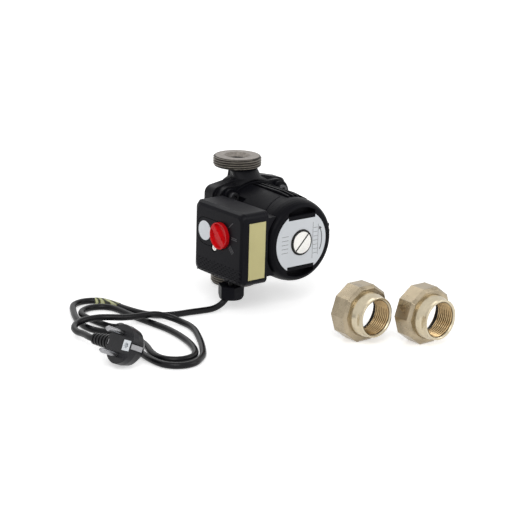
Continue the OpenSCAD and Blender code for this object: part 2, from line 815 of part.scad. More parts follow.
module terminal_box_cover() {
  color([0.11, 0.11, 0.12]) difference() {
    union() {
      difference() {
        union() {
          hull() {
            hull_plate(cover_face_x - overrun, cover_bevel);
            hull_plate(cover_face_x - 0.4 * cover_bevel, 0.4 * cover_bevel);
            hull_plate(cover_face_x - cover_bevel - overrun, 0);
          }
          box_plate(box_part_x, cover_depth - cover_bevel, 0);
        }
        box_level(box_part_x - overrun, box_mid_d, box_mid_z)
          linear_extrude(cover_depth - cover_wall + overrun)
            rounded_rect(box_half_z - 1.4 * cover_wall, box_half_d - 1.4 * cover_wall,
              box_corner - cover_wall);
      }
      box_level(box_part_x, cover_screw_d, cover_screw_z)
        cylinder(r = cover_post_r, h = cover_depth - overrun);
    }
    box_level(cover_face_x - groove_depth, 0, 0) linear_extrude(groove_depth + overrun)
      difference() {
        capsule(capsule_r);
        capsule(capsule_r - groove_band);
      }
    box_level(cover_face_x - knob_dish, knob_d, knob_z)
      cylinder(r = knob_r + 2 * fit_gap, h = knob_dish + overrun);
    box_level(cover_face_x - 2 * cover_wall, knob_d, knob_z)
      cylinder(r = knob_hole_r, h = 3 * cover_wall);
    box_level(box_part_x - overrun, cover_screw_d, cover_screw_z)
      cylinder(r = cover_screw_r, h = cover_depth + 2 * overrun);
    box_level(cover_face_x - cover_recess_depth, cover_screw_d, cover_screw_z)
      cylinder(r = cover_recess_r, h = cover_recess_depth + overrun);
    translate([-gland_x, -gland_d, box_low - overrun])
      cylinder(r = gland_hole_r, h = 2 * cover_wall + 2 * overrun);
  }
}

block_w = 11;
block_len = 17;
block_h = 20;
block_d = 36;
block_below = 25;
block_z = axis_z - block_below;
block_hole_r = 1.5;
block_pitch = 5.5;

module terminal_block() {
  color([0.85, 0.84, 0.78]) difference() {
    translate([-box_part_x - block_w, -block_d - block_len, block_z])
      cube([block_w, block_len, block_h]);
    for (i = [-1 : 1]) {
      box_level(box_part_x + 0.3 * block_w, block_d + 0.5 * block_len + i * block_pitch,
        block_z + 0.3 * block_h) cylinder(r = block_hole_r, h = block_w);
      translate([-box_part_x - 0.5 * block_w, -block_d - 0.5 * block_len
        - i * block_pitch, block_z - overrun]) cylinder(r = block_hole_r, h = block_h
        + 2 * overrun);
    }
  }
}

capacitor_r = 7.5;
capacitor_len = 25;
capacitor_from = 29.2;
capacitor_below = 16;
capacitor_d = box_front - capacitor_from;
capacitor_z = axis_z - capacitor_below;

module capacitor() {
  color([0.75, 0.76, 0.78])
    translate([-box_part_x - capacitor_r, -capacitor_d, capacitor_z]) rotate([90, 0, 0])
      cylinder(r = capacitor_r, h = capacitor_len);
}

switch_w = 12;
switch_half = 9;
switch_socket_r = 3.3;
switch_socket_depth = 8;
knob_stem_r = 3;
knob_stem_in = 20;
knob_stem_end = cover_face_x - knob_stem_in;

module speed_switch() {
  color([0.9, 0.9, 0.88]) difference() {
    translate([-box_part_x - switch_w, -knob_d - switch_half, knob_z - switch_half])
      cube([switch_w, 2 * switch_half, 2 * switch_half]);
    box_level(box_part_x + switch_w - switch_socket_depth, knob_d, knob_z)
      cylinder(r = switch_socket_r, h = switch_socket_depth + overrun);
  }
}

knob_rim_t = 1.1;
knob_base = 1.6;
knob_bar_w = 5.4;
knob_hub_r = 8.6;
knob_lift = 0.3;

module speed_knob() {
  color([0.8, 0.05, 0.06]) box_level(0, knob_d, knob_z) {
    translate([0, 0, cover_face_x + knob_lift - knob_dish + knob_base]) difference() {
      translate([0, 0, -knob_base]) cylinder(r = knob_r, h = knob_out);
      cylinder(r = knob_r - knob_rim_t, h = knob_out);
    }
    intersection() {
      translate([0, 0, cover_face_x]) cylinder(r = knob_r - 0.5 * knob_rim_t, h = knob_out);
      rotate([0, 0, 45]) translate([-knob_r, -0.5 * knob_bar_w, cover_face_x])
        cube([2 * knob_r, knob_bar_w, knob_out]);
    }
    translate([0, 0, cover_face_x - cover_wall]) cylinder(r = knob_hub_r,
      h = cover_wall + knob_base - 0.5 * knob_dish);
    translate([0, 0, knob_stem_end]) cylinder(r = knob_stem_r,
      h = cover_face_x - knob_stem_end);
  }
}

// Printed strokes that number the three speeds
stroke_w = 0.7;
stroke_gap = 1.6;
stroke_len = 8;
mark_one = [84.7, 23.3];
mark_two = [90, 11];
mark_three = [85.7, -0.5];

module stroke(at_d, at_z, turn) {
  box_level(cover_face_x, at_d, axis_z + at_z) rotate([0, 0, turn])
    translate([-0.5 * stroke_len, -0.5 * stroke_w, 0]) cube([stroke_len, stroke_w,
      0.5 * film_t]);
}

module speed_marks() {
  color([0.9, 0.9, 0.9]) {
    stroke(mark_one[0], mark_one[1], -48);
    for (s = [-1, 1]) stroke(mark_two[0], mark_two[1] + 0.5 * s * stroke_gap, 90);
    for (s = [-1 : 1]) stroke(mark_three[0] + 0.7 * s * stroke_gap,
      mark_three[1] + 0.7 * s * stroke_gap, 45);
  }
}

module cover_screw() {
  color([0.8, 0.8, 0.8]) difference() {
    union() {
      box_level(cover_face_x - cover_recess_depth, cover_screw_d, cover_screw_z)
        cylinder(r = cover_screw_head_r, h = cover_recess_depth);
      box_level(box_part_x - base_wall, cover_screw_d, cover_screw_z)
        cylinder(r = cover_screw_r, h = cover_depth + base_wall - cover_recess_depth);
    }
    for (turn = [0, 90]) box_level(cover_face_x - 0.4 * cover_recess_depth, cover_screw_d,
      cover_screw_z) rotate([0, 0, turn]) translate([-0.7 * cover_screw_head_r,
      -0.5 * stroke_w, 0]) cube([1.4 * cover_screw_head_r, stroke_w, cover_recess_depth]);
  }
}

module cover_sticker() {
  color([0.93, 0.93, 0.92]) box_level(cover_face_x, sticker_d, sticker_z)
    cylinder(r = sticker_r, h = film_t);
}

label_edge = 0.6;
label_face_gap = 7.1;
label_x0 = box_part_x + label_edge;
label_x1 = cover_face_x - label_face_gap;
label_below = 27;
label_above = 27.6;
label_z0 = axis_z - label_below;
label_z1 = axis_z + label_above;

module side_label() {
  color([0.85, 0.82, 0.3]) translate([-label_x1, -box_front - film_t, label_z0])
    cube([label_x1 - label_x0, film_t, label_z1 - label_z0]);
}

// Cable gland under the box
gland_flange_t = 2;
gland_up = 6.1;
gland_top = box_low + gland_up;
gland_nut_top = box_low;
gland_seal_below = 2.4;
gland_seal_above = 1.6;
gland_seal_low = box_low - gland_seal_below;
gland_seal_high = box_low + gland_seal_above;
gland_seal_r = 6;
gland_bevel = 1.6;
gland_thread_r = 7.4;
gland_grip_r = 3.3;

module gland_body() {
  color([0.08, 0.08, 0.08]) translate([-gland_x, -gland_d, 0])
    difference() {
      union() {
        tube(gland_thread_r, cord_r + ring_gap, gland_seal_low, gland_top);
        tube(gland_hole_r + 1.2 * gland_flange_t, cord_r + ring_gap,
          box_low + 1.4 * cover_wall, box_low + 1.4 * cover_wall + gland_flange_t);
      }
      translate([0, 0, gland_seal_low - overrun]) cylinder(r = gland_seal_r,
        h = gland_seal_high - gland_seal_low + overrun);
    }
}

module gland_seal() {
  color([0.05, 0.05, 0.05]) translate([-gland_x, -gland_d, 0])
    tube(gland_seal_r, cord_r + fit_gap, gland_seal_low, gland_seal_high);
}

bell_shares = [0, 0.155, 0.387, 0.619, 0.825];
bell_radii = [9.6, 7.6, 5.4, 4.1, 3.5];

module gland_nut() {
  color([0.09, 0.09, 0.09]) translate([-gland_x, -gland_d, 0]) difference() {
    rotate([0, 0, gland_turn]) intersection() {
      translate([0, 0, gland_low]) cylinder(r = gland_af / sqrt(3), h = gland_nut_top
        - gland_low, $fn = 6);
      translate([0, 0, gland_low]) cylinder(r1 = 0.5 * gland_af, r2 = 0.5 * gland_af
        + 4 * gland_bevel, h = 4 * gland_bevel * 2);
    }
    translate([0, 0, gland_low]) rotate_extrude()
      polygon(concat([[0, -overrun], [bell_radii[0] + 0.4 * overrun, -overrun]],
        [for (i = [0 : 4]) [bell_radii[i], bell_shares[i] * (gland_nut_top - gland_low)]],
        [[bell_radii[4], gland_nut_top - gland_low + overrun],
          [0, gland_nut_top - gland_low + overrun]]));
    translate([0, 0, gland_seal_low]) cylinder(r = gland_thread_r + fit_gap,
      h = gland_nut_top - gland_seal_low + overrun);
  }
}

// Mains lead: a tube swept along a hand-laid route, from the gland down to the floor,
// twice round the folded hank and into the plug
cord_r = 0.5 * cord_d;
floor_z = cord_r + 0.2;

function bend(x, y, r, from, to, n) = [for (i = [0 : n])
  [x + r * cos(from + (to - from) * i / n), y + r * sin(from + (to - from) * i / n),
    floor_z]];

lead_in = 2.6;
lead_drop = 3.4;
drop_shares = [0.578, 0.3227, 0.1206, 0.0213];
drop = [for (share = drop_shares) floor_z + share * (box_low - floor_z)];
lead_start = [[-gland_x, -gland_d, box_low + lead_in],
  [-gland_x, -gland_d, box_low - lead_drop], [-60, -70, drop[0]], [-64, -70, drop[1]],
  [-71, -69.5, drop[2]], [-79, -68, drop[3]], [-89, -65.5, 3.2], [-102, -63, 3.2],
  [-115, -61, 3.2], [-127, -57, 3.2], [-136.5, -49, 3.2], [-142, -37, 3.2],
  [-145, -24.5, 3.2], [-147, -12, 3.2]];
fold_one = bend(-168.5, 0, 19.2, 8, 153, 5);
run_one = [[-191, -1, 3.2], [-197.5, -14, 3.2], [-202.5, -28, 3.2], [-205.5, -42, 3.2],
  [-204, -55.5, 3.2], [-197, -68, 3.2], [-190, -80, 3.2], [-186.5, -94, 3.2],
  [-187, -108, 3.2], [-190.5, -121, 3.2], [-195, -133, 3.2]];
fold_two = bend(-179, -146, 18.2, 180, 330, 5);
run_two = [[-157.5, -144.5, 3.2], [-153, -132, 3.2], [-150, -119, 3.2],
  [-148, -105, 3.2], [-147.5, -90, 3.2], [-149, -74, 3.2], [-151, -58, 3.2],
  [-152.5, -44, 3.2], [-153, -31, 3.2]];
fold_three = bend(-172, -19, 18.4, 0, 180, 6);
run_three = [[-190, -31, 3.2], [-189, -43, 3.2], [-187.5, -55, 3.4], [-187, -66, 5.5],
  [-188, -76, 9.6], [-191, -86, 10.4], [-195, -97, 8.6], [-198.5, -108, 5],
  [-201.5, -120, 3.2], [-204, -133, 3.2], [-205.5, -145, 3.2]];
fold_four = bend(-185, -156.8, 20.5, 180, 312, 5);
run_four = [[-161.5, -164, 3.2], [-151.5, -150, 3.2], [-143, -136, 3.2],
  [-135, -121, 3.2], [-128.5, -107, 3.2], [-125, -94, 3.2], [-125.5, -82, 3.6],
  [-131, -72, 6], [-141, -66.5, 9.2], [-152, -65, 10.4], [-163, -62.5, 10.2],
  [-173.5, -57.5, 9.8], [-183, -52, 10.2], [-191, -47.5, 10.4], [-199.5, -45.5, 10.4]];
lead_end = [[-208.5, -45, 10.2], [-217.5, -47.8, 9.4], [-224.3, -54.7, 8.6],
  [-227, -64, 8.2], [-227.5, -75, 9.4]];

plug_centre = [-233.3, -141.2, 20.6];
relief_from = plug_r + ring_gap;
relief_to = 46;
relief_back = 8;
end_straight = 1.1 * cord_d;

// Directions of the plug: out of its face, along its pins, and along its cable exit
plug_out = [-cos(plug_tilt), 0, sin(plug_tilt)];
plug_up = [sin(plug_tilt) * cos(plug_turn), sin(plug_turn), cos(plug_tilt)
  * cos(plug_turn)];
plug_exit = [-sin(plug_tilt) * sin(plug_turn), cos(plug_turn), -cos(plug_tilt)
  * sin(plug_turn)];
relief_tip = plug_centre + relief_to * plug_exit - relief_back * plug_out;

lead_route = concat(lead_start, fold_one, run_one, fold_two, run_two, fold_three,
  run_three, fold_four, run_four, lead_end, [relief_tip + end_straight * plug_exit,
  relief_tip]);

function unit(v) = v / norm(v);
function spline_at(a, b, c, d, t) = 0.5 * (2 * b + (c - a) * t
  + (2 * a - 5 * b + 4 * c - d) * t * t + (3 * b - a - 3 * c + d) * t * t * t);
function smooth(p, k) = let (last = len(p) - 1) concat([for (i = [0 : last - 1],
  j = [0 : k - 1]) spline_at(p[max(i - 1, 0)], p[i], p[i + 1], p[min(i + 2, last)],
  j / k)], [p[last]]);
function headings(p) = let (last = len(p) - 1)
  [for (i = [0 : last]) unit(p[min(i + 1, last)] - p[max(i - 1, 0)])];
function normals(h) = let (first = unit(cross(h[0], [0, 1, 0])))
  [for (i = 0, u = first; i < len(h);
    u = unit(u - h[min(i + 1, len(h) - 1)] * (u * h[min(i + 1, len(h) - 1)])), i = i + 1)
    u];
function ring_points(c, h, u, r, n) = let (v = cross(h, u))
  [for (k = [0 : n - 1]) c + r * (cos(360 * k / n) * u + sin(360 * k / n) * v)];
function lengths(p) = [for (i = 0, s = 0; i < len(p);
  s = s + (i + 1 < len(p) ? norm(p[i + 1] - p[i]) : 0), i = i + 1) s];

module swept(p, r, n) {
  h = headings(p);
  u = normals(h);
  m = len(p);
  pts = [for (i = [0 : m - 1], q = ring_points(p[i], h[i], u[i], r, n)) q];
  sides = [for (i = [0 : m - 2], k = [0 : n - 1]) [i * n + k, i * n + (k + 1) % n,
    (i + 1) * n + (k + 1) % n, (i + 1) * n + k]];
  cap_a = [[for (k = [0 : n - 1]) n - 1 - k]];
  cap_b = [[for (k = [0 : n - 1]) (m - 1) * n + k]];
  polyhedron(points = pts, faces = concat(cap_a, cap_b, sides), convexity = 10);
}

lead_line = smooth(lead_route, cord_steps);
lead_lengths = lengths(lead_line);
apart = 5 * cord_d;
least_gap = min([for (i = [0 : len(lead_line) - 1], j = [i + 1 : 1 : len(lead_line) - 1])
  if (lead_lengths[j] - lead_lengths[i] > apart) norm(lead_line[j] - lead_line[i])])
  - cord_d;
echo(lead_length = lead_lengths[len(lead_line) - 1], least_gap = least_gap);

module power_cord() {
  color([0.06, 0.06, 0.06]) swept(lead_line, cord_r, cord_sides);
}

// Folded paper tag stuck round the lead
tag_from = 26;
tag_rings = 6;
tag_t = 0.4;

module cord_tag() {
  route = [for (i = [tag_from : tag_from + tag_rings - 1]) lead_line[i]];
  h = headings(lead_line);
  u = normals(h);
  n = cord_sides;
  outer = cord_r + tag_t + 0.5 * fit_gap;
  inner = cord_r + 0.5 * fit_gap;
  m = tag_rings;
  pts = concat(
    [for (i = [0 : m - 1], q = ring_points(route[i], h[tag_from + i], u[tag_from + i],
      outer, n)) q],
    [for (i = [0 : m - 1], q = ring_points(route[i], h[tag_from + i], u[tag_from + i],
      inner, n)) q]);
  far = m * n;
  sides = [for (i = [0 : m - 2], k = [0 : n - 1]) [i * n + k, i * n + (k + 1) % n,
    (i + 1) * n + (k + 1) % n, (i + 1) * n + k]];
  bore = [for (i = [0 : m - 2], k = [0 : n - 1]) [far + i * n + k,
    far + (i + 1) * n + k, far + (i + 1) * n + (k + 1) % n, far + i * n + (k + 1) % n]];
  end_a = [for (k = [0 : n - 1]) [far + k, far + (k + 1) % n, (k + 1) % n, k]];
  end_b = [for (k = [0 : n - 1]) [(m - 1) * n + k, (m - 1) * n + (k + 1) % n,
    far + (m - 1) * n + (k + 1) % n, far + (m - 1) * n + k]];
  color([0.82, 0.83, 0.35])
    polyhedron(points = pts, faces = concat(sides, bore, end_a, end_b), convexity = 6);
}

// Angled two-pin earthed plug lying on the floor. Local x is the pin line, local y the
// cable exit and local z points out of the face.
module plug_frame() {
  multmatrix([[plug_up[0], plug_exit[0], plug_out[0], plug_centre[0]],
    [plug_up[1], plug_exit[1], plug_out[1], plug_centre[1]],
    [plug_up[2], plug_exit[2], plug_out[2], plug_centre[2]], [0, 0, 0, 1]]) children();
}

plug_rim = 6;
plug_mid = 13;
plug_back = 17.5;
plug_mid_inset = 1.5;
plug_back_inset = 5.5;
plug_mid_r = plug_r - plug_mid_inset;
plug_back_r = plug_r - plug_back_inset;
plug_waist = 7;
insert_half = 4.6;
insert_at = 9.5;
insert_depth = 3;
earth_hole_r = 2.4;
pin_root_r = 2.1;
pin_step = 0.4;
clip_half = 3.2;
clip_t = 0.8;
clip_len = 12;
relief_r0 = 6.6;
relief_r1 = 4.6;
rib_count = 6;
rib_t = 1.5;

module cord_relief() {
  color([0.07, 0.07, 0.07]) plug_frame() translate([0, relief_from, -relief_back])
    rotate([-90, 0, 0]) {
      cylinder(r1 = relief_r0 - overrun, r2 = relief_r1 - overrun,
        h = relief_to - relief_from);
      for (i = [0 : rib_count - 1]) let (share = (i + 0.5) / rib_count)
        translate([0, 0, share * (relief_to - relief_from) - 0.5 * rib_t])
          cylinder(r = relief_r0 + share * (relief_r1 - relief_r0) + overrun,
            h = 1.6 * rib_t);
    }
}

module plug_body() {
  color([0.09, 0.09, 0.09]) plug_frame() difference() {
    union() {
      rotate_extrude() polygon([[0, -plug_back], [plug_back_r, -plug_back],
        [plug_mid_r, -plug_mid], [plug_r, -plug_rim], [plug_r, 0], [0, 0]]);
      translate([-plug_waist, 0, -plug_mid - 0.5 * overrun])
        cube([2 * plug_waist, relief_from, plug_mid]);
    }
    translate([-insert_half, -insert_at - insert_half, -insert_depth])
      cube([2 * insert_half, 2 * insert_half, insert_depth + overrun]);
    for (s = [-1, 1]) translate([s * pin_half, 0, -plug_rim])
      cylinder(r = pin_root_r, h = plug_rim + overrun);
    for (s = [0, 1]) mirror([0, s, 0])
      translate([-clip_half, plug_r - 2 * clip_t, -clip_len])
        cube([2 * clip_half, plug_r, clip_len + overrun]);
  }
}

module plug_pins() {
  color([0.85, 0.85, 0.83]) plug_frame() for (s = [-1, 1])
    translate([s * pin_half, 0, 0]) {
      translate([0, 0, -plug_rim]) cylinder(r = pin_root_r, h = plug_rim + pin_step);
      translate([0, 0, pin_step]) cylinder(r = pin_r, h = pin_len - pin_r - pin_step);
      translate([0, 0, pin_len - pin_r]) cylinder(r1 = pin_r, r2 = 0.45 * pin_r, h = pin_r);
    }
}

module plug_earth_clips() {
  color([0.85, 0.85, 0.83]) plug_frame() for (s = [0, 1]) mirror([0, s, 0])
    translate([-0.7 * clip_half, plug_r - 2 * clip_t, -clip_len])
      cube([1.4 * clip_half, clip_t, clip_len]);
}

module plug_insert() {
  color([0.92, 0.92, 0.9]) plug_frame() difference() {
    translate([-insert_half, -insert_at - insert_half, -insert_depth])
      cube([2 * insert_half, 2 * insert_half, insert_depth + overrun]);
    translate([0, -insert_at, -insert_depth - overrun])
      cylinder(r = earth_hole_r, h = insert_depth + 3 * overrun);
  }
}

// Unions: a ten-sided nut over a tailpiece, with a flat gasket
nut_wall = 3.5;
tail_flange_gap = 0.3;
tail_flange_r = nut_bore_r - tail_flange_gap;
tail_flange_t = 4;
tail_lip = 2;
gasket_t = 2;
gasket_step = 1.35;
gasket_hole = tail_bore_r + gasket_step;
nut_bevel = 2.6;
flat_len = 5;
flat_inset = 0.8;
flat_cut = tail_r - flat_inset;

module union_at(at_x, at_d) {
  translate([at_x, -at_d, 0.5 * nut_af]) rotate([90, 0, 0]) children();
}

module union_nut() {
  corner_r = 0.5 * nut_af / cos(180 / nut_flat_count);
  difference() {
    rotate([0, 0, 90 - 180 / nut_flat_count]) {
      translate([0, 0, -nut_len])
        cylinder(r = corner_r, h = nut_len - nut_bevel, $fn = nut_flat_count);
      translate([0, 0, -nut_bevel])
        cylinder(r1 = corner_r, r2 = corner_r - nut_bevel, h = nut_bevel, $fn = nut_flat_count);
    }
    translate([0, 0, -nut_len - overrun]) cylinder(r = nut_bore_r, h = nut_len - nut_wall
      + overrun);
    translate([0, 0, -nut_len - overrun])
      cylinder(r1 = nut_bore_r + 1.5 * tail_lip, r2 = nut_bore_r, h = 1.5 * tail_lip
        + overrun);
    translate([0, 0, -nut_wall - overrun]) cylinder(r = nut_hole_r,
      h = nut_wall + 2 * overrun);
  }
}

module union_tail() {
  difference() {
    union() {
      translate([0, 0, -nut_wall - tail_flange_t - ring_gap])
        cylinder(r = tail_flange_r, h = tail_flange_t);
      translate([0, 0, -nut_wall - tail_flange_t]) cylinder(r = nut_hole_r - running_gap,
        h = nut_wall + tail_flange_t + tail_lip);
      rotate_extrude() polygon([[0, tail_lip], [nut_hole_r - running_gap, tail_lip],
        [0.5 * (nut_hole_r + tail_r) + 0.1 * tail_lip, 0.45 * tail_out],
        [tail_r, 0.75 * tail_out], [tail_r, tail_out - 0.5 * overrun],
        [tail_r - overrun, tail_out], [0, tail_out]]);
    }
    translate([0, 0, -nut_len]) cylinder(r = tail_bore_r, h = nut_len + tail_out + overrun);
    translate([0, 0, tail_out - tail_lip])
      cylinder(r1 = tail_bore_r, r2 = tail_bore_r + 1.25 * tail_lip, h = 1.25 * tail_lip);
    for (turn = [0, 180]) rotate([0, 0, turn])
      translate([flat_cut, -tail_r, tail_out - flat_len])
        cube([tail_r, 2 * tail_r, flat_len + overrun]);
  }
}

module union_gasket() {
  tube(tail_flange_r, gasket_hole, -nut_wall - tail_flange_t - ring_gap - gasket_t,
    -nut_wall - tail_flange_t - ring_gap);
}

brass = [0.78, 0.7, 0.5];

module union_nut_a() { color(brass) union_at(union_a_x, union_a_d) union_nut(); }
module union_tail_a() { color(brass) union_at(union_a_x, union_a_d) union_tail(); }
module union_gasket_a() {
  color([0.12, 0.12, 0.12]) union_at(union_a_x, union_a_d) union_gasket();
}
module union_nut_b() { color(brass) union_at(union_b_x, union_b_d) union_nut(); }
module union_tail_b() { color(brass) union_at(union_b_x, union_b_d) union_tail(); }
module union_gasket_b() {
  color([0.12, 0.12, 0.12]) union_at(union_b_x, union_b_d) union_gasket();
}

pump_housing();
housing_gasket();
stator_housing();
housing_screws();
stator_core();
stator_windings();
rotor_can();
bearing_plate();
rotor_core();
shaft();
front_bearing();
rear_bearing();
thrust_ring();
impeller();
neck_ring();
motor_end_cap();
name_plate();
vent_screw();
vent_seal();
terminal_box_base();
terminal_box_cover();
terminal_block();
capacitor();
speed_switch();
speed_knob();
speed_marks();
cover_screw();
cover_sticker();
side_label();
gland_body();
gland_seal();
gland_nut();
power_cord();
cord_tag();
cord_relief();
plug_body();
plug_pins();
plug_earth_clips();
plug_insert();
union_nut_a();
union_tail_a();
union_gasket_a();
union_nut_b();
union_tail_b();
union_gasket_b();
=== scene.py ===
"""Looks of the circulation pump and its two pipe unions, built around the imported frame.

Named sizes and places are in millimetres, and are taken times MM where they are used. Those
of the camera and the stage are in metres.
"""

import bmesh
import bpy
import json
import math
from mathutils import Matrix, Vector


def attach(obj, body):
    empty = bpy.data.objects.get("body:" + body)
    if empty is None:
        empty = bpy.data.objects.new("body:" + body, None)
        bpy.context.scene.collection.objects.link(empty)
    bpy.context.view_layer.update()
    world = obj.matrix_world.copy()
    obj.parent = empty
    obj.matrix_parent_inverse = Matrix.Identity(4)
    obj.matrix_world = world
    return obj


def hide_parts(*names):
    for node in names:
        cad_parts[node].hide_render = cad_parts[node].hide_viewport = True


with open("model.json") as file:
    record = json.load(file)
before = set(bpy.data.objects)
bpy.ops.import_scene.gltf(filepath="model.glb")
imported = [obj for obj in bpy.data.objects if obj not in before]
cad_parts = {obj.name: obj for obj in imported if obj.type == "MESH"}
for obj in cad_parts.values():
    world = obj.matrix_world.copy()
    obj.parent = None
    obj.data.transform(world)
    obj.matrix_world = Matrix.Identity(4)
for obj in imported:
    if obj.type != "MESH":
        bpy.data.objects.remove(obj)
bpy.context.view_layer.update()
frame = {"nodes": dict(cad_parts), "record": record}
MM = 0.001
DATA = bpy.data

# places that the frame gives
JOINT_AT = {joint["name"]: joint["pos_m"] for joint in frame["record"]["behaviour"]["joints"]}
AXIS_Z = JOINT_AT["rotor_spin"][2] / MM
PORT_SPAN = 2 * AXIS_Z
COVER_X = JOINT_AT["speed_select"][0] / MM


def link(obj):
    bpy.context.scene.collection.objects.link(obj)
    return obj


# camera, as solved from the photo: in metres, pixels and, for its sensor, millimetres
AZIMUTH, ELEVATION, ROLL = math.radians(-39.09), math.radians(16.52), math.radians(1.72)
DISTANCE = 1.6
FOCAL_PX, FRAME_PX = 1645.6, 520
SENSOR_WIDTH = 36
AIM, AIM_PX = Vector((0, -0.05, 0.065)), (267.32, 229.97)


def place_camera():
    """The camera looks so that AIM is seen at the pixel AIM_PX."""
    back = Vector((math.sin(AZIMUTH) * math.cos(ELEVATION),
                   -math.cos(AZIMUTH) * math.cos(ELEVATION),
                   math.sin(ELEVATION)))
    level = Vector((math.cos(AZIMUTH), math.sin(AZIMUTH), 0))
    upright = back.cross(level)
    right = level * math.cos(ROLL) + upright * math.sin(ROLL)
    up = upright * math.cos(ROLL) - level * math.sin(ROLL)
    aim_right = (AIM_PX[0] - FRAME_PX / 2) / FOCAL_PX * DISTANCE
    aim_down = (AIM_PX[1] - FRAME_PX / 2) / FOCAL_PX * DISTANCE
    camera = link(DATA.objects.new("camera", DATA.cameras.new("camera")))
    camera.data.sensor_width = SENSOR_WIDTH
    camera.data.lens = FOCAL_PX / FRAME_PX * SENSOR_WIDTH
    place = AIM - right * aim_right + up * aim_down + back * DISTANCE
    camera.matrix_world = Matrix.Translation(place) @ Matrix((right, up, back)).transposed().to_4x4()
    bpy.context.scene.camera = camera


place_camera()

# materials
MATERIALS = {}
COAT_ROUGH = 0.1
EDGE_SAMPLES = 4
# a noise texture hardly leaves this stretch of its range
NOISE_LOW, NOISE_HIGH = 0.3, 0.7


def add(tree, kind, **values):
    """A new node. Each value goes to the input of that name, or else to the property."""
    node = tree.nodes.new(kind)
    for key, value in values.items():
        if key in node.inputs:
            node.inputs[key].default_value = value
        else:
            setattr(node, key, value)
    return node


def wire(tree, output, node, socket):
    tree.links.new(output, node.inputs[socket])


def principled(name, base, rough, metal=0.0, coat=0.0, spec=0.5):
    """A new material, kept under its name: its node tree, its shader and its object coordinates."""
    material = DATA.materials.new(name)
    material.use_nodes = True
    tree = material.node_tree
    shader = tree.nodes["Principled BSDF"]
    shader.inputs["Base Color"].default_value = (*base, 1)
    shader.inputs["Roughness"].default_value = rough
    shader.inputs["Metallic"].default_value = metal
    shader.inputs["Specular IOR Level"].default_value = spec
    if coat:
        shader.inputs["Coat Weight"].default_value = coat
        shader.inputs["Coat Roughness"].default_value = COAT_ROUGH
    MATERIALS[name] = material
    return tree, shader, add(tree, "ShaderNodeTexCoord").outputs["Object"]


def noise(tree, place, scale, detail=4.0, rough=0.6, stretch=None):
    texture = add(tree, "ShaderNodeTexNoise", Scale=scale, Detail=detail, Roughness=rough)
    if stretch:
        mapping = add(tree, "ShaderNodeMapping", Scale=stretch)
        wire(tree, place, mapping, "Vector")
        place = mapping.outputs["Vector"]
    wire(tree, place, texture, "Vector")
    return texture.outputs["Fac"]


def ramp(tree, factor, stops):
    """A colour ramp: stops are (position, colour)."""
    node = add(tree, "ShaderNodeValToRGB")
    elements = node.color_ramp.elements
    while len(elements) > 1:
        elements.remove(elements[-1])
    elements[0].position, elements[0].color = stops[0][0], (*stops[0][1], 1)
    for position, colour in stops[1:]:
        elements.new(position).color = (*colour, 1)
    wire(tree, factor, node, "Fac")
    return node.outputs["Color"]


def mapped(tree, factor, to_min, to_max, from_min=NOISE_LOW, from_max=NOISE_HIGH):
    node = add(tree, "ShaderNodeMapRange")
    limits = {"From Min": from_min, "From Max": from_max, "To Min": to_min, "To Max": to_max}
    for socket, value in limits.items():
        node.inputs[socket].default_value = value
    wire(tree, factor, node, "Value")
    return node.outputs["Result"]


def calc(tree, operation, *values):
    """A maths node. Each value is a number or the output of another node."""
    node = add(tree, "ShaderNodeMath", operation=operation)
    for socket, value in zip(node.inputs, values):
        if isinstance(value, float):
            socket.default_value = value
        else:
            tree.links.new(value, socket)
    return node.outputs[0]


def length_of(tree, vector):
    node = add(tree, "ShaderNodeVectorMath", operation="LENGTH")
    tree.links.new(vector, node.inputs[0])
    return node.outputs["Value"]


def bump(tree, height, strength, depth, normal=None):
    """A normal with the height pressed into it, depth millimetres deep."""
    node = add(tree, "ShaderNodeBump", Strength=strength, Distance=depth * MM)
    wire(tree, height, node, "Height")
    if normal:
        wire(tree, normal, node, "Normal")
    return node.outputs["Normal"]


def edge(tree, radius):
    """A normal with the edges softened to this radius in millimetres."""
    return add(tree, "ShaderNodeBevel", samples=EDGE_SAMPLES, Radius=radius * MM).outputs["Normal"]


def shade(colour, factor):
    return tuple(min(1.0, channel * factor) for channel in colour)


def two_tones(tree, factor, base, dark, light):
    return ramp(tree, factor, [(NOISE_LOW, shade(base, dark)), (NOISE_HIGH, shade(base, light))])


def plastic(name, base, rough, grain=900, strength=0.12, radius=0.6, coat=0.0, spread=0.12, spec=0.5):
    """Moulded plastic: faint blotches and a fine grain."""
    tree, shader, place = principled(name, base, rough, coat=coat, spec=spec)
    blotches = noise(tree, place, scale=25)
    wire(tree, two_tones(tree, blotches, base, 1 - spread, 1 + spread), shader, "Base Color")
    fine = noise(tree, place, grain, detail=3, rough=0.5)
    wire(tree, mapped(tree, blotches, to_min=rough - 0.05, to_max=rough + 0.06), shader, "Roughness")
    wire(tree, bump(tree, fine, strength, depth=0.3, normal=edge(tree, radius)), shader, "Normal")


def cast(name, base, rough, metal=0.0, scale=260, strength=0.5, radius=1, dust=0.35, spec=0.5):
    """A cast surface: coarse and fine grain, with lighter dust on the high spots."""
    tree, shader, place = principled(name, base, rough, metal, spec=spec)
    broad = noise(tree, place, scale=18)
    grain = noise(tree, place, scale, detail=6, rough=0.65)
    fine = noise(tree, place, scale * 5, detail=3)
    dark_at, base_at, light_at = 0.3, 0.55, 0.75
    stops = [(dark_at, shade(base, 1 - dust)), (base_at, base), (light_at, shade(base, 1 + dust))]
    wire(tree, ramp(tree, grain, stops), shader, "Base Color")
    wire(tree, mapped(tree, broad, to_min=rough - 0.07, to_max=rough + 0.1), shader, "Roughness")
    coarse = bump(tree, grain, strength, depth=0.5, normal=edge(tree, radius))
    wire(tree, bump(tree, fine, strength * 0.5, depth=0.2, normal=coarse), shader, "Normal")


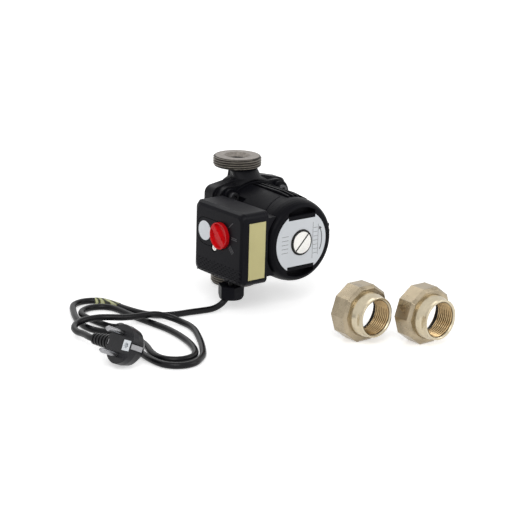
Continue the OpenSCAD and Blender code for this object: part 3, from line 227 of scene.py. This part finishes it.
def turned(name, base, rough, stretch=(1, 260, 1), strength=0.15, radius=0.3, spread=0.12):
    """Machined metal: fine tool marks, narrow in the direction where stretch is large."""
    tree, shader, place = principled(name, base, rough, metal=1.0)
    marks = noise(tree, place, scale=6, detail=3, stretch=stretch)
    blotches = noise(tree, place, scale=60)
    wire(tree, two_tones(tree, blotches, base, 1 - spread, 1 + spread), shader, "Base Color")
    wire(tree, mapped(tree, blotches, to_min=rough - 0.06, to_max=rough + 0.1), shader, "Roughness")
    wire(tree, bump(tree, marks, strength, depth=0.2, normal=edge(tree, radius)), shader, "Normal")


# castings
cast("motor_paint", (0.0045, 0.0045, 0.0065), 0.4, scale=420, strength=0.28, radius=0.7, dust=0.1,
     spec=0.06)
cast("iron_bare", (0.19, 0.17, 0.144), 0.45, metal=0.6, scale=500, strength=0.35, radius=0.3, dust=0.3)
# painted shade: the darker iron that the roots of the port threads get
cast("iron_root_painted_shade", (0.035, 0.03, 0.025), 0.6, metal=0.3, scale=500, strength=0.3, radius=0.2, dust=0.3)
cast("brass", (0.57, 0.5, 0.365), 0.27, metal=1.0, scale=300, strength=0.07, radius=0.8, dust=0.08)
cast("brass_thread", (0.5, 0.36, 0.19), 0.28, metal=1.0, scale=300, strength=0.06, radius=0.3, dust=0.08)
# painted shade: the darker brass that the roots of the union threads get
cast("brass_root_painted_shade", (0.13, 0.075, 0.03), 0.4, metal=1.0, scale=300, strength=0.2, radius=0.2, dust=0.2)

# machined and drawn metal
turned("brass_nut", (0.36, 0.3, 0.21), 0.26, stretch=(1, 300, 1), strength=0.07, radius=0.8, spread=0.26)
turned("screw_black", (0.07, 0.07, 0.075), 0.4)
turned("core_steel", (0.45, 0.45, 0.46), 0.4, stretch=(1, 900, 1), strength=0.5)
turned("copper", (0.55, 0.22, 0.1), 0.35, stretch=(400, 1, 400), strength=0.6)
turned("stainless", (0.6, 0.6, 0.61), 0.28)
turned("nickel", (0.72, 0.71, 0.68), 0.24, stretch=(1, 500, 1), strength=0.12)
turned("can_aluminium", (0.65, 0.66, 0.68), 0.3)
# painted reflection: a darker copy of the nickel, for the dark surroundings that the plug's pins and earth
# clips reflect
turned("pin_steel_painted_reflection", (0.3, 0.3, 0.31), 0.24)

# plastic, rubber, ceramic and print
plastic("ceramic", (0.85, 0.84, 0.8), 0.15, strength=0.02)
plastic("carbon", (0.05, 0.05, 0.05), 0.5)
plastic("impeller_plastic", (0.7, 0.66, 0.55), 0.45)
plastic("plate_white", (0.71, 0.74, 0.775), 0.42, strength=0.03, radius=0.1, spread=0.03)
plastic("sticker_white", (0.86, 0.9, 0.94), 0.42, strength=0.03, radius=0.1, spread=0.03)
plastic("label_yellow", (0.58, 0.53, 0.25), 0.45, strength=0.03, radius=0.1, spread=0.05)
plastic("box_plastic", (0.0055, 0.0055, 0.008), 0.38, grain=700, strength=0.3, radius=1, spec=0.08)
plastic("block_plastic", (0.72, 0.71, 0.66), 0.5)
plastic("knob_red", (0.66, 0.006, 0.01), 0.3, strength=0.03, radius=0.4, coat=0.1, spec=0.15)
plastic("cord_black", (0.004, 0.004, 0.005), 0.32, grain=500, strength=0.12, radius=0.4, spec=0.2)
plastic("plug_plastic", (0.011, 0.011, 0.0135), 0.34, grain=800, strength=0.15, radius=0.7, spec=0.25)
plastic("rubber_black", (0.008, 0.008, 0.008), 0.6, spec=0.25)
plastic("mark_grey", (0.05, 0.05, 0.055), 0.5, radius=0.05)
plastic("print_dark", (0.05, 0.05, 0.055), 0.5, radius=0.05)
# painted shade: the dark sheet on the floor of the vent screw's slot
plastic("slot_painted_shade", (0.006, 0.006, 0.006), 0.8, radius=0.05, spec=0.1)


def housing_paint():
    """Black paint over cast iron, bare and brownish on the machined collars."""
    painted, bare = (0.0035, 0.0035, 0.005), (0.26, 0.235, 0.212)
    # from the housing's middle to the paint's edge, and how far that edge is soft and wavy
    paint_end, paint_soft, paint_wave = 55, 0.2, 0.8
    # the port's bore is painted up to the first radius, and its rim is bare from the second
    bore_painted, rim_bare = 8.8, 9.4
    tree, shader, place = principled("housing_paint", painted, 0.44, spec=0.13)
    grain = noise(tree, place, scale=300, detail=6, rough=0.65)
    fine = noise(tree, place, scale=1500, detail=3)
    broad = noise(tree, place, scale=40)
    parts = add(tree, "ShaderNodeSeparateXYZ")
    wire(tree, place, parts, "Vector")
    from_middle = calc(tree, "ABSOLUTE", calc(tree, "SUBTRACT", parts.outputs["Z"], AXIS_Z * MM))
    wavy = calc(tree, "MULTIPLY_ADD", broad, paint_wave * MM, from_middle)
    at_end = mapped(tree, wavy, 0, 1, (paint_end - paint_soft) * MM, (paint_end + paint_soft) * MM)
    level = add(tree, "ShaderNodeVectorMath", operation="MULTIPLY")
    level.inputs[1].default_value = (1, 1, 0)
    tree.links.new(place, level.inputs[0])
    from_axis = length_of(tree, level.outputs["Vector"])
    outside = mapped(tree, from_axis, 0, 1, bore_painted * MM, rim_bare * MM)
    is_bare = calc(tree, "MULTIPLY", at_end, outside)
    paint = two_tones(tree, grain, painted, dark=0.7, light=1.5)
    metal = two_tones(tree, grain, bare, dark=0.65, light=1.35)
    mix = add(tree, "ShaderNodeMix", data_type="RGBA")
    wire(tree, is_bare, mix, "Factor")
    colours_in = [socket for socket in mix.inputs if socket.type == "RGBA"]
    tree.links.new(paint, colours_in[0])
    tree.links.new(metal, colours_in[1])
    wire(tree, next(out for out in mix.outputs if out.type == "RGBA"), shader, "Base Color")
    metallic = mapped(tree, is_bare, to_min=0, to_max=0.6, from_min=0, from_max=1)
    wire(tree, metallic, shader, "Metallic")
    coarse = bump(tree, grain, strength=0.5, depth=0.4, normal=edge(tree, radius=1.2))
    wire(tree, bump(tree, fine, strength=0.25, depth=0.2, normal=coarse), shader, "Normal")


def tag_lines():
    """Paper tag with dark printed bars across a pale yellow-green ground."""
    dark, middle, pale = (0.02, 0.022, 0.012), (0.3, 0.32, 0.08), (0.6, 0.62, 0.36)
    tree, shader, place = principled("tag_lines", (0.5, 0.52, 0.2), 0.4)
    waves = add(tree, "ShaderNodeTexWave", wave_type="BANDS", bands_direction="X", Scale=95,
                Distortion=1.5, Detail=2)
    wire(tree, place, waves, "Vector")
    blotches = noise(tree, place, scale=120)
    print_mask = calc(tree, "MULTIPLY", waves.outputs["Fac"], blotches)
    wire(tree, ramp(tree, print_mask, [(0.16, dark), (0.27, middle), (0.42, pale)]), shader, "Base Color")
    wire(tree, bump(tree, blotches, strength=0.2, depth=0.2), shader, "Normal")


housing_paint()
tag_lines()

# nodes that look unlike the rest of their slot
LOOK_OF_NODE = {
    "pump_housing": "housing_paint",
    "speed_marks": "mark_grey",
    "cord_tag": "tag_lines",
    "cover_sticker": "sticker_white",
    "plug_insert": "sticker_white",
    # the plug's pins and earth clips get the darker metal of the painted reflection
    "plug_pins": "pin_steel_painted_reflection",
    "plug_earth_clips": "pin_steel_painted_reflection",
}
slot_of = {part["node"]: part["material_slot"] for part in frame["record"]["subparts"]}
for node_name, obj in frame["nodes"].items():
    look = MATERIALS[LOOK_OF_NODE.get(node_name, slot_of[node_name])]
    if obj.material_slots:
        for material_slot in obj.material_slots:
            material_slot.material = look
    else:
        obj.data.materials.append(look)

# new pieces: faces that meet at less than this angle are shaded as one
SMOOTH_ANGLE = math.radians(32)


def mesh(name, verts, faces):
    data = DATA.meshes.new(name)
    data.from_pydata([tuple(v) for v in verts], [], faces)
    editable = bmesh.new()
    editable.from_mesh(data)
    bmesh.ops.recalc_face_normals(editable, faces=editable.faces)
    editable.to_mesh(data)
    editable.free()
    return link(DATA.objects.new(name, data))


def dress(obj, body, slot, look=None, smooth=True):
    """Gives a new piece its body and its material: the look, or else that of its record slot."""
    obj.data.materials.clear()
    obj.data.materials.append(MATERIALS[look or slot])
    if smooth:
        obj.data.shade_smooth()
        obj.data.set_sharp_from_angle(angle=SMOOTH_ANGLE)
    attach(obj, body)
    return obj


def copy_of(node, name):
    source = frame["nodes"][node]
    obj = link(DATA.objects.new(name, source.data.copy()))
    obj.matrix_world = source.matrix_world.copy()
    return obj


def move_verts(obj, change):
    """Moves each point to where change says, unless that is None."""
    for vert in obj.data.vertices:
        new = change(vert.co)
        if new is not None:
            vert.co = new


def tube_on(name, points, radius, sides):
    """A round closed tube along points, with a frame carried along so that it doesn't twist."""
    count, verts, faces = len(points), [], []
    angles = [2 * math.pi * k / sides for k in range(sides)]
    heads = [(points[min(i + 1, count - 1)] - points[max(i - 1, 0)]).normalized() for i in range(count)]
    across = heads[0].cross(Vector((0, 1, 0))).normalized()
    for point, head in zip(points, heads):
        across = (across - head * across.dot(head)).normalized()
        upright = head.cross(across)
        verts += [point + radius * (math.cos(a) * across + math.sin(a) * upright) for a in angles]
    for i in range(count - 1):
        for k in range(sides):
            a, b = i * sides + k, i * sides + (k + 1) % sides
            faces.append((a, b, b + sides, a + sides))
    faces += [tuple(range(sides))[::-1], tuple(range((count - 1) * sides, count * sides))]
    return mesh(name, verts, faces)


# mains lead, on the route of the CAD's power_cord
LEAD_D, LEAD_SIDES = 6, 16
LEAD_LYING_Z = 3.2
CURVE_STEPS = 4
PLUG_TILT, PLUG_TURN = math.radians(26), math.radians(8)
PLUG_CENTRE = Vector((-233.3, -141.2, 20.6))
RELIEF_REACH, RELIEF_BEHIND, RELIEF_STRAIGHT = 46, 8, 6.6
pins_out = Vector((-math.cos(PLUG_TILT), 0, math.sin(PLUG_TILT)))
lead_out = Vector((-math.sin(PLUG_TILT) * math.sin(PLUG_TURN),
                   math.cos(PLUG_TURN),
                   -math.cos(PLUG_TILT) * math.sin(PLUG_TURN)))
relief_tip = PLUG_CENTRE + RELIEF_REACH * lead_out - RELIEF_BEHIND * pins_out


def lying(*places):
    """Points of the route on the floor."""
    return [(x, y, LEAD_LYING_Z) for x, y in places]


def fold(x, y, radius, start, end, steps):
    """Points of the route on the floor, round an arc from start to end degrees."""
    angles = [math.radians(start + (end - start) * i / steps) for i in range(steps + 1)]
    return lying(*((x + radius * math.cos(a), y + radius * math.sin(a)) for a in angles))


route = [(-58.5, -70, 34), (-58.5, -70, 28), (-60, -70, 19.5), (-64, -70, 12.3), (-71, -69.5, 6.6),
         (-79, -68, 3.8)]
route += lying((-89, -65.5), (-102, -63), (-115, -61), (-127, -57), (-136.5, -49), (-142, -37),
               (-145, -24.5), (-147, -12))
route += fold(-168.5, 0, 19.2, 8, 153, 5)
route += lying((-191, -1), (-197.5, -14), (-202.5, -28), (-205.5, -42), (-204, -55.5), (-197, -68),
               (-190, -80), (-186.5, -94), (-187, -108), (-190.5, -121), (-195, -133))
route += fold(-179, -146, 18.2, 180, 330, 5)
route += lying((-157.5, -144.5), (-153, -132), (-150, -119), (-148, -105), (-147.5, -90), (-149, -74),
               (-151, -58), (-152.5, -44), (-153, -31))
route += fold(-172, -19, 18.4, 0, 180, 6)
route += lying((-190, -31), (-189, -43))
route += [(-187.5, -55, 3.4), (-187, -66, 5.5), (-188, -76, 9.6), (-191, -86, 10.4), (-195, -97, 8.6),
          (-198.5, -108, 5)]
route += lying((-201.5, -120), (-204, -133), (-205.5, -145))
route += fold(-185, -156.8, 20.5, 180, 312, 5)
route += lying((-161.5, -164), (-151.5, -150), (-143, -136), (-135, -121), (-128.5, -107), (-125, -94))
route += [(-125.5, -82, 3.6), (-131, -72, 6), (-141, -66.5, 9.2), (-152, -65, 10.4), (-163, -62.5, 10.2),
          (-173.5, -57.5, 9.8), (-183, -52, 10.2), (-191, -47.5, 10.4), (-199.5, -45.5, 10.4),
          (-208.5, -45, 10.2), (-217.5, -47.8, 9.4), (-224.3, -54.7, 8.6), (-227, -64, 8.2),
          (-227.5, -75, 9.4)]
route += [tuple(relief_tip + RELIEF_STRAIGHT * lead_out), tuple(relief_tip)]


def curve_through(points, steps):
    """A Catmull-Rom curve through the points, with this many steps from one to the next."""
    points = [Vector(p) for p in points]
    curve, last = [], len(points) - 1
    for i in range(last):
        a, b, c, d = points[max(i - 1, 0)], points[i], points[i + 1], points[min(i + 2, last)]
        for step in range(steps):
            t = step / steps
            square = (2 * a - 5 * b + 4 * c - d) * t * t
            cube = (3 * b - a - 3 * c + d) * t ** 3
            curve.append(0.5 * (2 * b + (c - a) * t + square + cube))
    return curve + [points[last]]


lead_path = [q * MM for q in curve_through(route, CURVE_STEPS)]
lead = dress(tube_on("mains_lead", lead_path, LEAD_D / 2 * MM, LEAD_SIDES), "pump", "cord_black")
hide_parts("power_cord")

# pipe threads, as real geometry, with painted shade on their roots
PITCH = 2.309
TURN_STEPS, PITCH_ROWS = 96, 10
ROOT_FLAT_SHARE, FLANK_SHARE = 0.12, 0.72
# share of the thread's height, from the root, that gets the painted shade of the roots
ROOT_SHADE_SHARE = 0.38
SLEEVE_WALL = 0.3
THREAD_ANGLE = math.radians(28)


def thread_sleeve(name, where, wall, crest, length, body, slot, looks, lead_in=1.2):
    """A helical thread on a thin sleeve, from the wall's radius to the crest's.

    where is a matrix that puts local z on the thread's axis. looks are those of its faces and of
    its roots; the roots' darker look is painted shade. Over lead_in at both ends the thread runs out into
    the wall.
    """
    wall, crest, length, pitch, lead_in = (size * MM for size in (wall, crest, length, PITCH, lead_in))
    sleeve_back = wall - SLEEVE_WALL * MM if crest > wall else wall + SLEEVE_WALL * MM
    rows = int(length / pitch * PITCH_ROWS)
    angles = [2 * math.pi * k / TURN_STEPS for k in range(TURN_STEPS)]
    verts, faces = [], []
    for i in range(rows + 1):
        z = length * i / rows
        run_out = max(0.0, min(1.0, z / lead_in, (length - z) / lead_in))
        for k, angle in enumerate(angles):
            phase = ((z - pitch * k / TURN_STEPS) / pitch) % 1.0
            climb = 1 - abs(2 * phase - 1)
            height = min(1.0, max(0.0, (climb - ROOT_FLAT_SHARE) / FLANK_SHARE))
            radius = wall + (crest - wall) * height * run_out
            verts.append(where @ Vector((radius * math.cos(angle), radius * math.sin(angle), z)))
    first_end, first_back = rows * TURN_STEPS, len(verts)
    second_back = first_back + TURN_STEPS
    for z in (0, length):
        for angle in angles:
            point = Vector((sleeve_back * math.cos(angle), sleeve_back * math.sin(angle), z))
            verts.append(where @ point)

    def face(low, high, k):
        j = (k + 1) % TURN_STEPS
        faces.append((low + k, low + j, high + j, high + k))

    for i in range(rows):
        for k in range(TURN_STEPS):
            face(i * TURN_STEPS, (i + 1) * TURN_STEPS, k)
    for k in range(TURN_STEPS):
        face(0, first_back, k)
        face(first_end, second_back, k)
        face(first_back, second_back, k)
    sleeve = dress(mesh(name, verts, faces), body, slot, looks[0])
    sleeve.data.set_sharp_from_angle(angle=THREAD_ANGLE)
    sleeve.data.materials.append(MATERIALS[looks[1]])
    to_axis = where.inverted()
    # faces near the root get the second look: painted shade in the thread's grooves
    for polygon in sleeve.data.polygons:
        q = to_axis @ polygon.center
        if abs(math.hypot(q.x, q.y) - wall) < ROOT_SHADE_SHARE * abs(crest - wall):
            polygon.material_index = 1


# pump housing: both collars cut back for their threads
COLLAR_LEN = 11.5
COLLAR_SKIN_R, COLLAR_CORE_R = 21.8, 22.1
PORT_THREAD = {"wall": 22.5, "crest": 23.85, "length": 10.1}
PORT_THREAD_INSET = 0.2


def slim_collars(co):
    """The collars' skin is brought in to the core that carries the thread."""
    radius = math.hypot(co.x, co.y)
    on_collar = co.z > (PORT_SPAN - COLLAR_LEN) * MM or co.z < COLLAR_LEN * MM
    if radius <= COLLAR_SKIN_R * MM or not on_collar:
        return None
    share = COLLAR_CORE_R * MM / radius
    return Vector((co.x * share, co.y * share, co.z))


# pump housing: the upper neck drawn in under its collar
NECK_Z, NECK_R, NECK_EDGE = (100, 119.5), 27, 1.8
WAIST_AWAY = Vector((-0.776, 0.63, 0))
WAIST_SHARE = 0.5
WAIST_BEGINS, WAIST_ENDS, WAIST_FADES_R = (104, 112), (116.5, 119.3), (17.5, 25)


def in_neck(co):
    return NECK_Z[0] * MM < co.z < NECK_Z[1] * MM and math.hypot(co.x, co.y) < NECK_R * MM


def refine(obj, inside, longest, rounds=4):
    """Splits the long edges of a region so that it can be bent smoothly."""
    editable = bmesh.new()
    editable.from_mesh(obj.data)
    for _ in range(rounds):
        edges = [e for e in editable.edges
                 if e.calc_length() > longest and inside((e.verts[0].co + e.verts[1].co) / 2)]
        if not edges:
            break
        bmesh.ops.subdivide_edges(editable, edges=edges, cuts=1)
        bmesh.ops.triangulate(editable, faces=[f for f in editable.faces if len(f.verts) > 3])
    editable.to_mesh(obj.data)
    editable.free()


def ease(value, limits):
    """Rises smoothly from 0 at the first limit to 1 at the second."""
    low, high = (limit * MM for limit in limits)
    share = min(1.0, max(0.0, (value - low) / (high - low)))
    return share * share * (3 - 2 * share)


def waist(co):
    """The neck is drawn in on the side that faces away from the motor and the box."""
    out = co.dot(WAIST_AWAY)
    if out <= 0:
        return None
    over_height = ease(co.z, WAIST_BEGINS) * (1 - ease(co.z, WAIST_ENDS))
    share = WAIST_SHARE * over_height * (1 - ease(math.hypot(co.x, co.y), WAIST_FADES_R))
    return co - WAIST_AWAY * (out * share) if share > 0 else None


housing = copy_of("pump_housing", "housing_shell")
move_verts(housing, slim_collars)
refine(housing, in_neck, NECK_EDGE * MM)
move_verts(housing, waist)
dress(housing, "pump", "cast_iron_black", "housing_paint")
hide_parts("pump_housing")
outlet_thread_z = PORT_SPAN - PORT_THREAD_INSET - PORT_THREAD["length"]
for name, z in (("outlet_thread", outlet_thread_z), ("inlet_thread", PORT_THREAD_INSET)):
    thread_sleeve(name, Matrix.Translation((0, 0, z * MM)), **PORT_THREAD, body="pump",
                  slot="cast_iron_black", looks=("iron_bare", "iron_root_painted_shade"))

# unions: the bores of tailpiece and nut widened to carry their threads
TAIL_BORE, TAIL_BORE_WIDE = (15.0, 15.3), 16.7
TAIL_THREAD = {"wall": 16.55, "crest": 15.25, "length": 19.4, "lead_in": 1.6}
TAIL_THREAD_Z = -7.3
NUT_BORE, NUT_BORE_WIDE = (22.4, 22.6), 23.9
NUT_THREAD = {"wall": 23.8, "crest": 22.55, "length": 11.5}
NUT_THREAD_Z = -17.6
# looks of the brass threads' crests and roots; the roots' look is painted shade
BRASS_LOOKS = ("brass_thread", "brass_root_painted_shade")


def widen(obj, where, bore, radius):
    """Points between bore's two radii round the axis are moved out to a new radius."""
    to_axis = where.inverted()

    def change(co):
        q = to_axis @ co
        r = math.hypot(q.x, q.y)
        if not bore[0] * MM < r < bore[1] * MM:
            return None
        return where @ Vector((q.x * (radius * MM) / r, q.y * (radius * MM) / r, q.z))

    move_verts(obj, change)


def build_union(tag):
    where = Matrix.Translation(JOINT_AT["nut_" + tag + "_spin"]) @ Matrix.Rotation(math.radians(90), 4, "X")
    tail = copy_of("union_tail_" + tag, "tailpiece_" + tag)
    widen(tail, where, TAIL_BORE, TAIL_BORE_WIDE)
    dress(tail, "pump", "brass")
    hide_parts("union_tail_" + tag)
    thread_sleeve("tail_thread_" + tag, where @ Matrix.Translation((0, 0, TAIL_THREAD_Z * MM)),
                  **TAIL_THREAD, body="pump", slot="brass", looks=BRASS_LOOKS)
    nut = copy_of("union_nut_" + tag, "nut_shell_" + tag)
    widen(nut, where, NUT_BORE, NUT_BORE_WIDE)
    dress(nut, "nut_" + tag, "brass", "brass_nut")
    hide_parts("union_nut_" + tag)
    thread_sleeve("nut_thread_" + tag, where @ Matrix.Translation((0, 0, NUT_THREAD_Z * MM)),
                  **NUT_THREAD, body="nut_" + tag, slot="brass", looks=BRASS_LOOKS)


for union in "ab":
    build_union(union)

# small raised bars
BAR_SUNK = 0.05
BAR_SHOULDER_SHARE = 0.6
BAR_BEVEL_SHARE, BAR_BEVEL_MOST = 0.25, 0.25
TO_LEFT, TO_FRONT, TO_RIGHT, UPWARDS = (-1, 0, 0), (0, -1, 0), (1, 0, 0), (0, 0, 1)


def bars(name, rows, body, slot, look):
    """One piece of bars, each (middle, along, across, out, length, width, height)."""
    verts, faces = [], []
    for middle, along, across, out, length, width, height in rows:
        middle, along = Vector(middle), Vector(along).normalized()
        across, out = Vector(across).normalized(), Vector(out).normalized()
        base = len(verts)
        bevel = min(width * BAR_BEVEL_SHARE, BAR_BEVEL_MOST)
        for level, inset in ((-BAR_SUNK, 0), (height * BAR_SHOULDER_SHARE, 0), (height, bevel)):
            for end, side in ((-1, -1), (1, -1), (1, 1), (-1, 1)):
                corner = middle + along * end * (length / 2 - inset) + across * side * (width / 2 - inset)
                verts.append((corner + out * level) * MM)
        for low in (base, base + 4):
            for k in range(4):
                j = (k + 1) % 4
                faces.append((low + k, low + j, low + 4 + j, low + 4 + k))
        faces += [(base + 3, base + 2, base + 1, base), (base + 8, base + 9, base + 10, base + 11)]
    return dress(mesh(name, verts, faces), body, slot, look, smooth=False)


# cover: a field of slanted dashes, every other row shifted by half a step
DASH_ROWS, DASH_COLUMNS = 4, 12
DASH_Y, DASH_Z = -35, 46.4
DASH_STEP, DASH_ROW_STEP = 5.9, 4
DASH_ALONG, DASH_ACROSS = (0, -0.98, 0.2), (0, 0.2, 0.98)
DASH_SIZE = (3.3, 1.0, 0.4)
dashes = []
for row in range(DASH_ROWS):
    for column in range(DASH_COLUMNS):
        y, z = DASH_Y - column * DASH_STEP, DASH_Z - row * DASH_ROW_STEP
        dashes.append(((COVER_X, y, z), DASH_ALONG, DASH_ACROSS, TO_LEFT, *DASH_SIZE))
        if row < DASH_ROWS - 1 and column < DASH_COLUMNS - 1:
            between = (COVER_X, y - DASH_STEP / 2, z - DASH_ROW_STEP / 2)
            dashes.append((between, DASH_ALONG, DASH_ACROSS, TO_LEFT, *DASH_SIZE))
bars("cover_pattern", dashes, "pump", "box_plastic", "box_plastic")

# casting seam across the tapered barrel, just behind the cap
BARREL_R, BARREL_TAPER = 42, 1.7
BARREL_Y, BARREL_LEN = 27, 57
SEAM_R, SEAM_SIDES, SEAM_STEPS = 0.45, 8, 28
SEAM_START, SEAM_SWEEP = 100, 62
SEAM_Y, SEAM_DRIFT = 75.5, 8
seam = []
for i in range(SEAM_STEPS + 1):
    a = math.radians(SEAM_START + SEAM_SWEEP * i / SEAM_STEPS)
    forward = SEAM_Y + SEAM_DRIFT * i / SEAM_STEPS
    r = BARREL_R - BARREL_TAPER * (forward - BARREL_Y) / BARREL_LEN
    seam.append(Vector((r * math.cos(a), -forward, AXIS_Z + r * math.sin(a))) * MM)
dress(tube_on("barrel_seam", seam, SEAM_R * MM, SEAM_SIDES), "pump", "motor_paint")

# front plate: thin rules, a turning arrow, and painted shade: a dark sheet on the floor of the vent screw's
# slot
PLATE_Y = -101.5
RULE_HEIGHT = 0.06
POST_WIDTH, RUNG_WIDTH = 0.35, 0.3
POSTS = ((14, 36), (20.6, 30))
RUNG_X = (POSTS[0][0] + POSTS[1][0]) / 2
RUNGS, RUNG_Z, RUNG_STEP, RUNG_LEN = 7, -13, 4.2, 5.2
LINES, LINE_X, LINE_Z, LINE_STEP, LINE_LEN = 5, -20, -8, 4, 8
rules = []
for x, length in POSTS:
    rules.append(((x, PLATE_Y, AXIS_Z), UPWARDS, TO_RIGHT, TO_FRONT, length, POST_WIDTH, RULE_HEIGHT))
for i in range(RUNGS):
    middle = (RUNG_X, PLATE_Y, AXIS_Z + RUNG_Z + i * RUNG_STEP)
    rules.append((middle, TO_RIGHT, UPWARDS, TO_FRONT, RUNG_LEN, RUNG_WIDTH, RULE_HEIGHT))
for i in range(LINES):
    middle = (LINE_X, PLATE_Y, AXIS_Z + LINE_Z + i * LINE_STEP)
    rules.append((middle, TO_RIGHT, UPWARDS, TO_FRONT, LINE_LEN, POST_WIDTH, RULE_HEIGHT))
bars("plate_rules", rules, "pump", "plate_white", "print_dark")

ARROW_R, ARROW_WIDTH, ARROW_STEPS = 25.3, 0.9, 20
ARROW_HALF_SWEEP, ARROW_TIP = math.radians(24), math.radians(7)
ARROW_HEAD = 2


def turn_arrow():
    """A flat curved shaft and a triangular head, just in front of the plate."""
    verts, faces = [], []

    def point(radius, angle):
        x, z = radius * math.cos(angle), AXIS_Z + radius * math.sin(angle)
        verts.append(Vector((x, PLATE_Y - RULE_HEIGHT, z)) * MM)

    for i in range(ARROW_STEPS + 1):
        angle = -ARROW_HALF_SWEEP + 2 * ARROW_HALF_SWEEP * i / ARROW_STEPS
        point(ARROW_R - ARROW_WIDTH / 2, angle)
        point(ARROW_R + ARROW_WIDTH / 2, angle)
    for i in range(ARROW_STEPS):
        faces.append((2 * i, 2 * i + 1, 2 * i + 3, 2 * i + 2))
    head = len(verts)
    point(ARROW_R - ARROW_HEAD, ARROW_HALF_SWEEP)
    point(ARROW_R + ARROW_HEAD, ARROW_HALF_SWEEP)
    point(ARROW_R, ARROW_HALF_SWEEP + ARROW_TIP)
    faces.append((head, head + 1, head + 2))
    dress(mesh("turn_arrow", verts, faces), "pump", "plate_white", "print_dark", smooth=False)


turn_arrow()

# painted shade: a dark sheet laid on the floor of the vent screw's slot
SLOT_ANGLE, SLOT_Y = math.radians(46), -101.62
SLOT_SIZE = (20.6, 1.5, 0.08)
slot_along = (math.cos(SLOT_ANGLE), 0, math.sin(SLOT_ANGLE))
slot_across = (-math.sin(SLOT_ANGLE), 0, math.cos(SLOT_ANGLE))
bars("slot_shade_sheet", [((0, SLOT_Y, AXIS_Z), slot_along, slot_across, TO_FRONT, *SLOT_SIZE)],
     "vent", "nickel", "slot_painted_shade")

# stage, in metres
FLOOR_REACH, FLOOR_Z = 6, -0.0002
FLOOR_GLOW_NEAR, FLOOR_GLOW_FAR = 0.52, 1.0
GLOW_BEGINS, GLOW_ENDS = 0.45, 1.1
WORLD_LIGHT, WORLD_SHOWN = 0.42, 1.0
WHITE = (1, 1, 1, 1)


def largest(tree, sockets):
    result = sockets[0]
    for socket in sockets[1:]:
        result = calc(tree, "MAXIMUM", result, socket)
    return result


def ray_is(tree, *kinds):
    """1 for a ray of one of these kinds, else 0."""
    path = add(tree, "ShaderNodeLightPath")
    return largest(tree, [path.outputs["Is " + kind + " Ray"] for kind in kinds])


def lay_floor():
    """A white floor that glows more with distance, where the camera or a reflection sees it."""
    corners = [(x * FLOOR_REACH, y * FLOOR_REACH, 0) for x, y in ((-1, -1), (1, -1), (1, 1), (-1, 1))]
    floor = link(DATA.objects.new("floor", DATA.meshes.new("floor")))
    floor.data.from_pydata(corners, [], [(0, 1, 2, 3)])
    floor.location.z = FLOOR_Z
    tree, shader, _ = principled("floor_white", (0.93, 0.93, 0.93), 0.9)
    floor.data.materials.append(MATERIALS["floor_white"])
    shader.inputs["Emission Color"].default_value = WHITE
    away = length_of(tree, add(tree, "ShaderNodeNewGeometry").outputs["Position"])
    glow = mapped(tree, away, FLOOR_GLOW_NEAR, FLOOR_GLOW_FAR, GLOW_BEGINS, GLOW_ENDS)
    seen = ray_is(tree, "Camera", "Glossy")
    wire(tree, calc(tree, "MULTIPLY", glow, seen), shader, "Emission Strength")


def light_world():
    """A white world that lights less than it shows."""
    world = DATA.worlds.new("studio")
    bpy.context.scene.world = world
    world.use_nodes = True
    tree = world.node_tree
    background = tree.nodes["Background"]
    background.inputs["Color"].default_value = WHITE
    seen = ray_is(tree, "Camera", "Glossy", "Transmission")
    strength = mapped(tree, seen, WORLD_LIGHT, WORLD_SHOWN, from_min=0, from_max=1)
    wire(tree, strength, background, "Strength")


def area_lamp(name, at, aim, size, watts):
    lamp = link(DATA.objects.new(name, DATA.lights.new(name, "AREA")))
    lamp.data.shape = "RECTANGLE"
    lamp.data.size, lamp.data.size_y = size
    lamp.data.energy = watts
    lamp.location = at
    lamp.rotation_euler = (Vector(aim) - Vector(at)).to_track_quat("-Z", "Y").to_euler()


lay_floor()
light_world()
area_lamp("key", at=(-0.9, -1.0, 1.1), aim=(-0.05, -0.1, 0.05), size=(0.8, 0.8), watts=9)
area_lamp("fill", at=(0.9, -1.1, 0.8), aim=(0, -0.1, 0.05), size=(0.7, 0.7), watts=4)
area_lamp("rim", at=(0.3, 0.9, 1.0), aim=(0, 0, 0.05), size=(0.9, 0.5), watts=2.6)
bpy.context.scene.view_settings.view_transform = "Standard"
